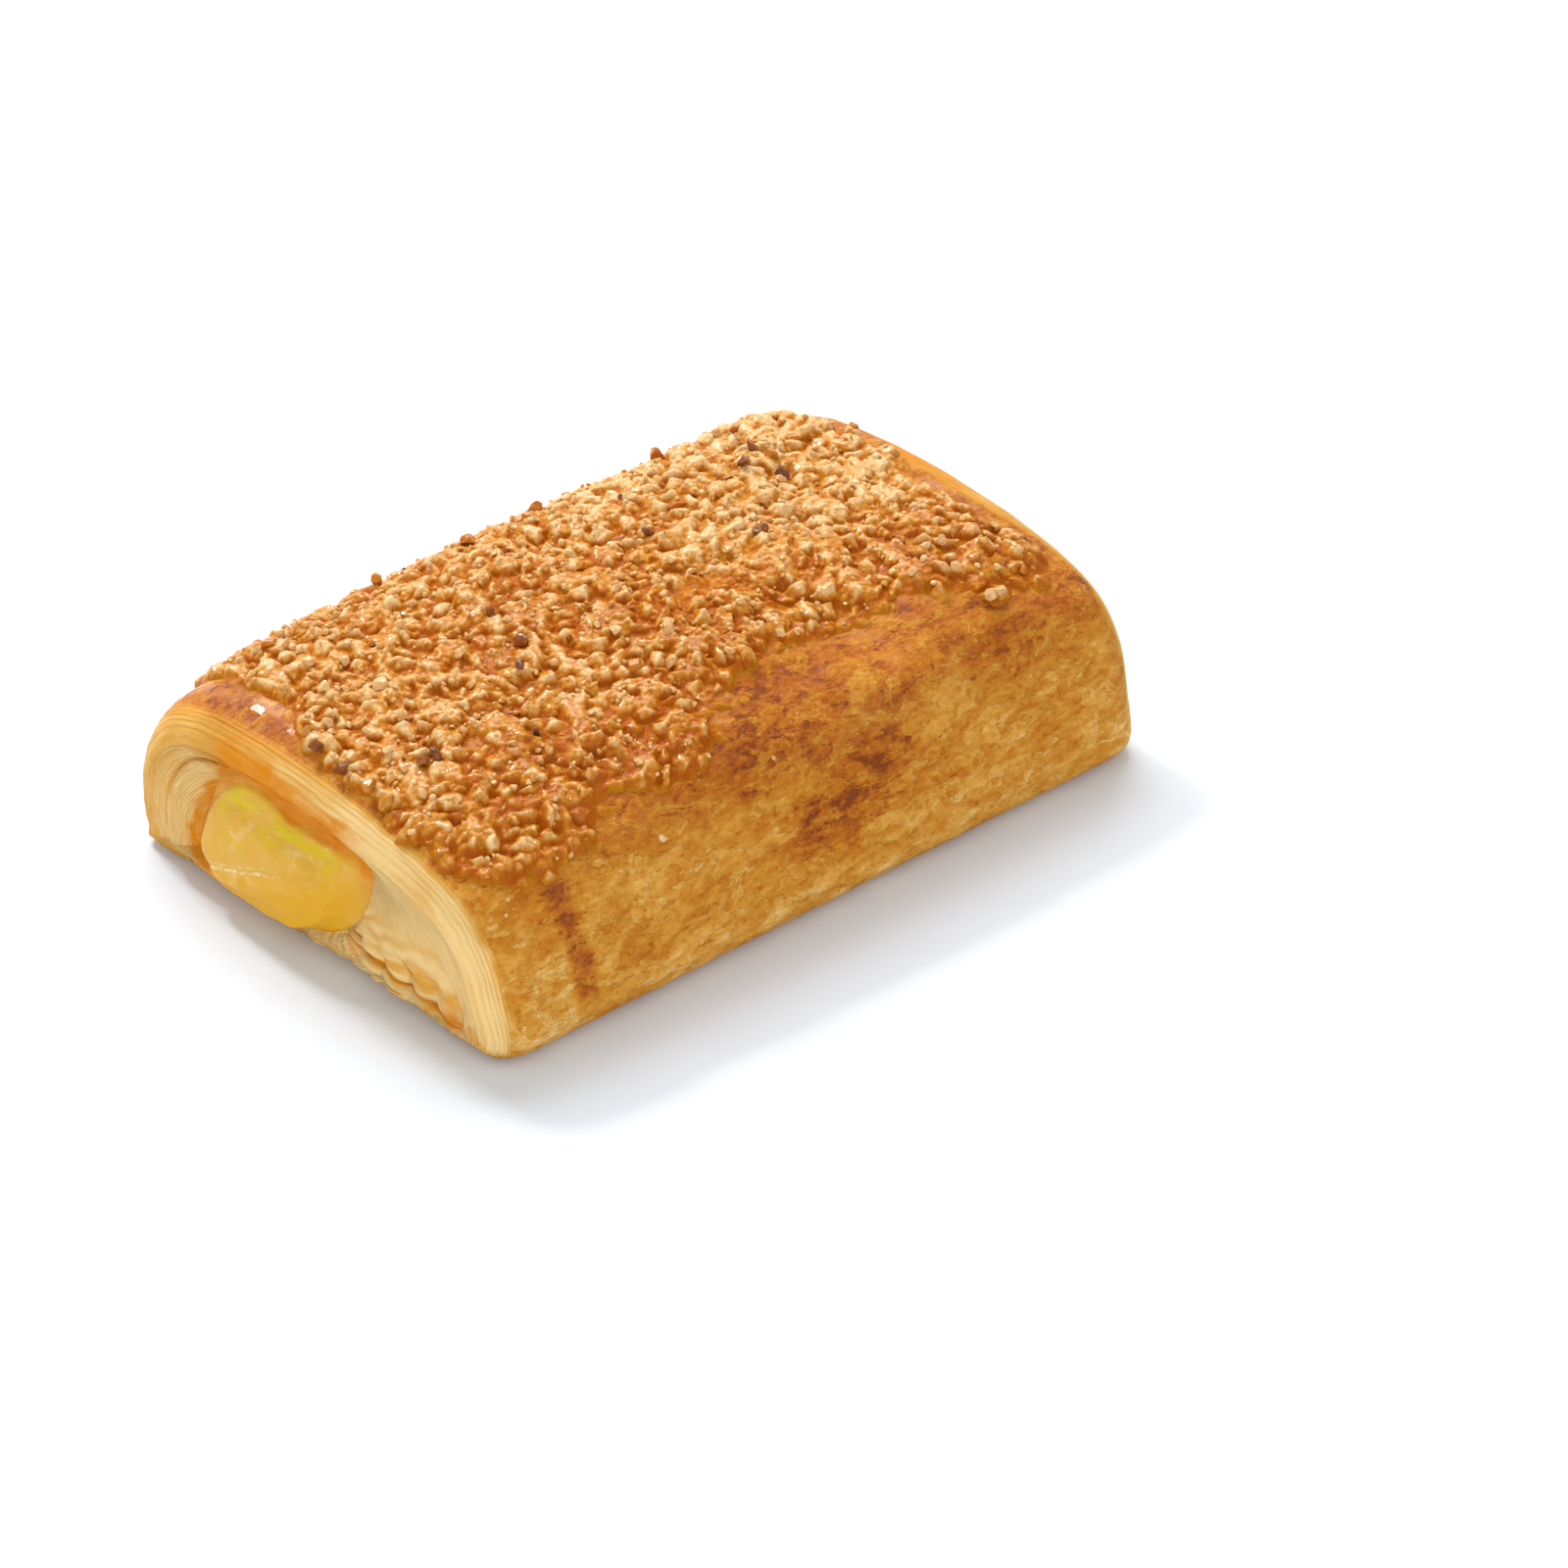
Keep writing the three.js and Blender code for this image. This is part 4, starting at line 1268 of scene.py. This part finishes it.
class NAPOLITANA_OT_stage(bpy.types.Operator):
    """Adds the floor, the soft studio light and the camera"""

    bl_idname = "napolitana.stage"
    bl_label = "Stage"

    def execute(self, context):
        scene = context.scene
        bpy.ops.object.select_all(action="DESELECT")
        bpy.ops.mesh.primitive_plane_add(size=FLOOR_SIZE)
        floor = context.object
        floor.name = "floor"
        floor.data.materials.append(floor_finish())

        world = bpy.data.worlds.new("studio")
        scene.world = world
        world.use_nodes = True
        sky = world.node_tree.nodes["Background"]
        sky.inputs["Color"].default_value = SKY_COLOUR
        sky.inputs["Strength"].default_value = SKY_STRENGTH
        for light in LIGHTS:
            add_light(*light)

        level = math.cos(ELEVATION)
        back = Vector((math.sin(AZIMUTH) * level, -math.cos(AZIMUTH) * level, math.sin(ELEVATION)))
        bpy.ops.object.camera_add(location=AIM + back * DISTANCE)
        camera = context.object
        camera.name = "camera"
        camera.rotation_euler = (-back).to_track_quat("-Z", "Y").to_euler()
        camera.data.lens, camera.data.sensor_width = LENS, SENSOR
        camera.data.clip_start, camera.data.clip_end = 0.01, 20
        scene.camera = camera
        scene.view_settings.view_transform = "Standard"
        scene.view_settings.look = "None"
        return {"FINISHED"}


# ---- add-on ----

STEPS = (
    NAPOLITANA_OT_dough,
    NAPOLITANA_OT_cream,
    NAPOLITANA_OT_syrup,
    NAPOLITANA_OT_crumble,
    NAPOLITANA_OT_stage,
)


class VIEW3D_PT_napolitana(bpy.types.Panel):
    bl_label = "Napolitana"
    bl_idname = "VIEW3D_PT_napolitana"
    bl_space_type = "VIEW_3D"
    bl_region_type = "UI"
    bl_category = "Napolitana"

    def draw(self, context):
        for group in (context.scene.napolitana_sizes, context.scene.napolitana_colours):
            for key in group.__annotations__:
                self.layout.prop(group, key)
        for step in STEPS:
            self.layout.operator(step.bl_idname)


CLASSES = (NapolitanaSizes, NapolitanaColours, *STEPS, VIEW3D_PT_napolitana)


def register():
    for made in CLASSES:
        bpy.utils.register_class(made)
    bpy.types.Scene.napolitana_sizes = PointerProperty(type=NapolitanaSizes)
    bpy.types.Scene.napolitana_colours = PointerProperty(type=NapolitanaColours)


def unregister():
    del bpy.types.Scene.napolitana_colours
    del bpy.types.Scene.napolitana_sizes
    for made in reversed(CLASSES):
        bpy.utils.unregister_class(made)


def main():
    register()
    bpy.ops.napolitana.stage()
    bpy.ops.napolitana.dough()
    bpy.ops.napolitana.cream()
    bpy.ops.napolitana.syrup()
    bpy.ops.napolitana.crumble()


if __name__ == "__main__":
    main()
